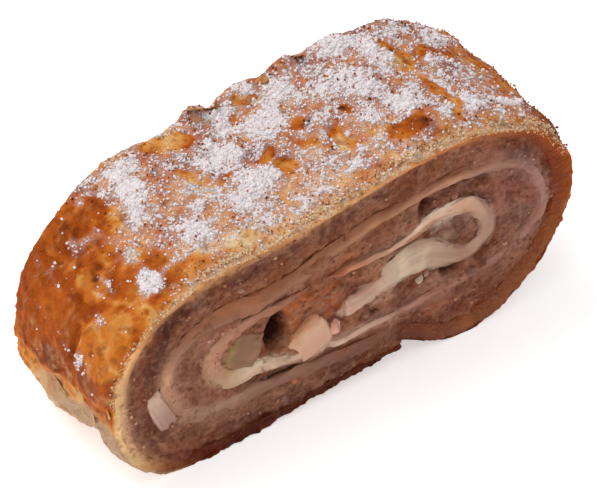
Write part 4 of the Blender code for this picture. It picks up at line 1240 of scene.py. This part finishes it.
# %% Strudel crust, oven-baked and brushed with butter, under powdered sugar
# Baking leaves pores 0.9 mm across and browner freckles 2.6 mm across, and a dry, matt skin.
tree, shader, place, tone = start_finish("baked_strudel_crust", [crust, leaves, rim_crumbs])
pores = node(tree, "ShaderNodeTexNoise", {"Vector": place, "Scale": 1100.0, "Detail": 4.0}).outputs[0]
freckle = node(tree, "ShaderNodeTexNoise", {"Vector": place, "Scale": 380.0, "Detail": 5.0}).outputs[0]
freckled = node(tree, "ShaderNodeMapRange", {0: freckle, 1: 0.54, 2: 0.68, 3: 0.0, 4: 0.55}).outputs[0]
dark = node(tree, "ShaderNodeMix", {0: freckled, 6: tone, 7: (*linear("#6e3014"), 1)}, **MIX).outputs[2]
paled = node(tree, "ShaderNodeMapRange", {0: pores, 1: 0.54, 2: 0.78, 3: 0.0, 4: 0.14}).outputs[0]
baked = node(tree, "ShaderNodeMix", {0: paled, 6: dark, 7: (*linear("#e09a48"), 1)}, **MIX).outputs[2]
# Sugar lies where its cover is higher than a noise of clumps 1.1 mm across with finer ones in
# them, and a thin veil of it lets the crust show through.
clumps = node(tree, "ShaderNodeTexNoise", {"Vector": place, "Scale": 900.0, "Detail": 6.0,
                                             "Roughness": 0.7}).outputs[0]
spread = node(tree, "ShaderNodeMapRange", {0: clumps, 1: 0.32, 2: 0.68, 3: 0.06, 4: 1.1}).outputs[0]
cover_here = node(tree, "ShaderNodeAttribute", attribute_name="sugar").outputs["Fac"]
over_noise = node(tree, "ShaderNodeMath", {0: cover_here, 1: spread}, operation="SUBTRACT").outputs[0]
lumps = node(tree, "ShaderNodeMapRange", {0: over_noise, 1: -0.02, 2: 0.07, 3: 0.0, 4: 0.96}).outputs[0]
veil = node(tree, "ShaderNodeMapRange", {0: cover_here, 1: 0.12, 2: 0.9, 3: 0.0, 4: 0.42}).outputs[0]
sugared = node(tree, "ShaderNodeMath", {0: lumps, 1: veil}, operation="ADD", use_clamp=True).outputs[0]
coloured = node(tree, "ShaderNodeMix", {0: sugared, 6: baked, 7: (*linear("#faf3f6"), 1)}, **MIX)
tree.links.new(coloured.outputs[2], shader.inputs["Base Color"])
dull = node(tree, "ShaderNodeMapRange", {0: sugared, 1: 0.0, 2: 0.6, 3: 0.5, 4: 0.95}).outputs[0]
tree.links.new(dull, shader.inputs["Roughness"])
grit = node(tree, "ShaderNodeMath", {0: clumps, 1: sugared}, operation="MULTIPLY").outputs[0]
height = node(tree, "ShaderNodeMath", {0: grit, 1: pores}, operation="ADD").outputs[0]
height = node(tree, "ShaderNodeMath", {0: height, 1: freckle}, operation="ADD").outputs[0]
bump = node(tree, "ShaderNodeBump", {"Height": height, "Strength": 0.9, "Distance": 0.9 * MM})
tree.links.new(bump.outputs[0], shader.inputs["Normal"])
set_constants(shader, {"IOR": 1.46, "Specular IOR Level": 0.06, "Subsurface Weight": 0.05,
                       "Subsurface Radius": (1.0, 0.5, 0.25), "Subsurface Scale": 1.0 * MM})

# %% [markdown]
# ### Soft dough inside the roll
# Dough that steamed has no crust. Rolling has drawn its fibres out along the sheet, and a noise on
# object coordinates would run straight across them. So this noise reads two numbers from the
# points: how far each one lies round the roll, and how far out.

# %% Soft cut dough, steamed rather than baked inside the roll: pale, moist and slightly clear
# Its fibres are 1.4 mm wide and run round the roll.
tree, shader, place, tone = start_finish("soft_cut_dough", [turns])
layered = along_layers(tree, place)
fibre = node(tree, "ShaderNodeTexNoise", {"Vector": layered, "Scale": 700.0, "Detail": 5.0}).outputs[0]
stained = node(tree, "ShaderNodeMapRange", {0: fibre, 1: 0.52, 2: 0.75, 3: 0.0, 4: 0.35}).outputs[0]
coloured = node(tree, "ShaderNodeMix", {0: stained, 6: tone, 7: (*linear("#8a5c46"), 1)}, **MIX)
tree.links.new(coloured.outputs[2], shader.inputs["Base Color"])
wet = node(tree, "ShaderNodeMapRange", {0: fibre, 1: 0.35, 2: 0.65, 3: 0.42, 4: 0.66}).outputs[0]
tree.links.new(wet, shader.inputs["Roughness"])
bump = node(tree, "ShaderNodeBump", {"Height": fibre, "Strength": 0.5, "Distance": 0.3 * MM})
tree.links.new(bump.outputs[0], shader.inputs["Normal"])
set_constants(shader, {"IOR": 1.42, "Specular IOR Level": 0.3, "Subsurface Weight": 0.35,
                       "Subsurface Radius": (1.0, 0.7, 0.5), "Subsurface Scale": 1.5 * MM})

# %% [markdown]
# ### Milled walnut paste
# Crumbs that are large enough to cast a shadow are in the mesh. The finer meal would need millions
# of faces, so the material draws it: threads along the layers, then dark husks and pale kernels.
# One noise gives the meal its height and its gloss, so the low places are the wet ones.

# %% Walnut paste, milled nuts bound by sugar syrup: brown crumbs with wet glints between them
# Threads 1.3 mm wide follow the layers. The meal is 1.1 mm across: dark husks and pale kernels.
tree, shader, place, tone = start_finish("milled_walnut_paste", [filling])
layered = along_layers(tree, place)
threads = node(tree, "ShaderNodeTexNoise", {"Vector": layered, "Scale": 800.0, "Detail": 5.0}).outputs[0]
shadow = node(tree, "ShaderNodeMapRange", {0: threads, 1: 0.5, 2: 0.72, 3: 0.0, 4: 0.24}).outputs[0]
streaky = node(tree, "ShaderNodeMix", {0: shadow, 6: tone, 7: (*linear("#48200f"), 1)}, **MIX).outputs[2]
bright = node(tree, "ShaderNodeMapRange", {0: threads, 1: 0.47, 2: 0.3, 3: 0.0, 4: 0.16}).outputs[0]
tone = node(tree, "ShaderNodeMix", {0: bright, 6: streaky, 7: (*linear("#b88260"), 1)}, **MIX).outputs[2]
meal = node(tree, "ShaderNodeTexNoise", {"Vector": place, "Scale": 900.0, "Detail": 6.0,
                                           "Roughness": 0.66}).outputs[0]
husk = node(tree, "ShaderNodeMapRange", {0: meal, 1: 0.53, 2: 0.63, 3: 0.0, 4: 0.55}).outputs[0]
dark = node(tree, "ShaderNodeMix", {0: husk, 6: tone, 7: (*linear("#522416"), 1)}, **MIX).outputs[2]
kernel = node(tree, "ShaderNodeMapRange", {0: meal, 1: 0.45, 2: 0.36, 3: 0.0, 4: 0.34}).outputs[0]
coloured = node(tree, "ShaderNodeMix", {0: kernel, 6: dark, 7: (*linear("#b07c5a"), 1)}, **MIX)
tree.links.new(coloured.outputs[2], shader.inputs["Base Color"])
wet = node(tree, "ShaderNodeMapRange", {0: meal, 1: 0.38, 2: 0.6, 3: 0.26, 4: 0.6}).outputs[0]
tree.links.new(wet, shader.inputs["Roughness"])
bump = node(tree, "ShaderNodeBump", {"Height": meal, "Strength": 0.9, "Distance": 0.5 * MM})
tree.links.new(bump.outputs[0], shader.inputs["Normal"])
set_constants(shader, {"IOR": 1.45, "Specular IOR Level": 0.14, "Subsurface Weight": 0.2,
                       "Subsurface Radius": (1.0, 0.5, 0.35), "Subsurface Scale": 1.2 * MM})

# %% [markdown]
# ### Stewed apple
# Light goes into stewed fruit and comes out beside where it went in. A see-through material would
# show that the mesh is hollow, so the flesh is opaque and spreads light under its skin instead.

# %% Stewed apple, sugar-soaked flesh: glassy, so light goes in and comes out softly
# Syrup stains it in patches 2.9 mm across.
tree, shader, place, tone = start_finish("stewed_apple_flesh", list(fruit.values()))
flesh = node(tree, "ShaderNodeTexNoise", {"Vector": place, "Scale": 350.0, "Detail": 4.0}).outputs[0]
syrup = node(tree, "ShaderNodeMapRange", {0: flesh, 1: 0.5, 2: 0.72, 3: 0.0, 4: 0.5}).outputs[0]
coloured = node(tree, "ShaderNodeMix", {0: syrup, 6: tone, 7: (*linear("#b07a50"), 1)}, **MIX)
tree.links.new(coloured.outputs[2], shader.inputs["Base Color"])
bump = node(tree, "ShaderNodeBump", {"Height": flesh, "Strength": 0.35, "Distance": 0.4 * MM})
tree.links.new(bump.outputs[0], shader.inputs["Normal"])
set_constants(shader, {"Roughness": 0.32, "IOR": 1.40, "Subsurface Weight": 0.6,
                       "Subsurface Radius": (1.0, 0.75, 0.5), "Subsurface Scale": 2.5 * MM})

# %% [markdown]
# ### Glazed walnut kernel
# A broken kernel is hard and amber, with a thin brown skin. Syrup could be a second coat over it,
# but on pieces of 4 mm and less a low roughness gives the same glints.

# %% Walnut kernel, broken and glazed by syrup: amber, with sharp small glints
# The veins of its skin are 1.1 mm apart.
tree, shader, place, tone = start_finish("glazed_walnut_kernel", [nuts, crumbs])
skin = node(tree, "ShaderNodeTexNoise", {"Vector": place, "Scale": 900.0, "Detail": 3.0}).outputs[0]
veined = node(tree, "ShaderNodeMapRange", {0: skin, 1: 0.5, 2: 0.7, 3: 0.0, 4: 0.5}).outputs[0]
coloured = node(tree, "ShaderNodeMix", {0: veined, 6: tone, 7: (*linear("#4a1e10"), 1)}, **MIX)
tree.links.new(coloured.outputs[2], shader.inputs["Base Color"])
set_constants(shader, {"Roughness": 0.28, "IOR": 1.47, "Subsurface Weight": 0.25,
                       "Subsurface Radius": (1.0, 0.5, 0.25), "Subsurface Scale": 1.0 * MM})

# %% [markdown]
# ### Powdered sugar
# Sugar crystals are clear, but a heap of them sends all light back in every direction, so it looks
# white and matt. Nobody models the grains: the clumps are the balls above, and a fine noise breaks
# up their surface.

# %% Powdered sugar, sifted: fine matt crystals that scatter light, white with soft shadows
# Real grains are under 0.1 mm. They are drawn 0.4 mm across, which is as fine as still shows.
tree, shader, place, tone = start_finish("sifted_powdered_sugar", [sugar_clumps])
powder = node(tree, "ShaderNodeTexNoise", {"Vector": place, "Scale": 2500.0, "Detail": 2.0}).outputs[0]
faint = node(tree, "ShaderNodeMapRange", {0: powder, 1: 0.4, 2: 0.7, 3: 0.0, 4: 0.25}).outputs[0]
coloured = node(tree, "ShaderNodeMix", {0: faint, 6: tone, 7: (*linear("#dccfca"), 1)}, **MIX)
tree.links.new(coloured.outputs[2], shader.inputs["Base Color"])
set_constants(shader, {"Roughness": 0.95, "Subsurface Weight": 0.3,
                       "Subsurface Radius": (1.0, 1.0, 1.0), "Subsurface Scale": 0.4 * MM})

# %% [markdown]
# ## Floor, light and camera
# The slice lies on a plain white table. Most of the light comes from one large soft panel above
# and behind it, which keeps the cut face in soft shade, and a white room fills in the rest.

# %% Floor
HALF_FLOOR = 1.5
floor_mesh = bpy.data.meshes.new("table_top")
floor_mesh.from_pydata([(-HALF_FLOOR, -HALF_FLOOR, 0), (HALF_FLOOR, -HALF_FLOOR, 0),
                        (HALF_FLOOR, HALF_FLOOR, 0), (-HALF_FLOOR, HALF_FLOOR, 0)], [], [(0, 1, 2, 3)])
floor = bpy.data.objects.new("table_top", floor_mesh)
bpy.context.scene.collection.objects.link(floor)
# White card, matt; a little light of its own keeps it as white as the room behind the slice.
card = bpy.data.materials.new("white_card")
card.use_nodes = True
set_constants(card.node_tree.nodes["Principled BSDF"],
              {"Base Color": (*linear("#fbfbfb"), 1), "Emission Color": (1, 1, 1, 1),
               "Emission Strength": 0.5, "Roughness": 0.9})
floor_mesh.materials.append(card)
print("floor is", 2 * HALF_FLOOR, "m wide")

# %% Light
CENTRE = Vector((0.0031, 0.0007, 0.0230))  # the middle of the slice, which all of them face


def soft_panel(name, azimuth, elevation, distance, size, power, colour):
    """A square panel of light that faces the slice: azimuth 0 is the front, 90 the left."""
    a, e = radians(azimuth), radians(elevation)
    towards = Vector((-sin(a) * cos(e), -cos(a) * cos(e), sin(e)))
    lamp = bpy.data.lights.new(name, "AREA")
    lamp.energy, lamp.size, lamp.color = power, size, linear(colour)
    panel = bpy.data.objects.new(name, lamp)
    panel.location = CENTRE + towards * distance
    panel.rotation_euler = towards.to_track_quat("Z", "Y").to_euler()
    bpy.context.scene.collection.objects.link(panel)
    print(name, "gives", power, "W")


soft_panel("key_panel", 150, 62, 0.9, 0.55, 4.2, "#fffaf6")
soft_panel("left_panel", 60, 40, 1.0, 0.7, 1.6, "#fff8f0")
soft_panel("glint_panel", 10, 58, 0.8, 0.08, 0.3, "#ffffff")
world = bpy.data.worlds.new("white_room")
world.use_nodes = True
world.node_tree.nodes["Background"].inputs["Color"].default_value = (1.0, 1.0, 1.0, 1)
world.node_tree.nodes["Background"].inputs["Strength"].default_value = 0.44
bpy.context.scene.world = world
bpy.context.scene.view_settings.view_transform = "Standard"

# %% Camera: a long lens from the front, right and above
AZIMUTH, ELEVATION, DISTANCE, SEEN_WIDTH, SENSOR = -35.6, 41.0, 1.1, 0.1218, 36
a, e = radians(AZIMUTH), radians(ELEVATION)
towards_camera = Vector((sin(a) * cos(e), -cos(a) * cos(e), sin(e)))
lens = bpy.data.cameras.new("camera")
lens.sensor_width = SENSOR
lens.lens = SENSOR * DISTANCE / SEEN_WIDTH
camera = bpy.data.objects.new("camera", lens)
camera.location = CENTRE + towards_camera * DISTANCE
camera.rotation_euler = towards_camera.to_track_quat("Z", "Y").to_euler()
bpy.context.scene.collection.objects.link(camera)
bpy.context.scene.camera = camera
print("focal length in mm:", round(lens.lens, 1))
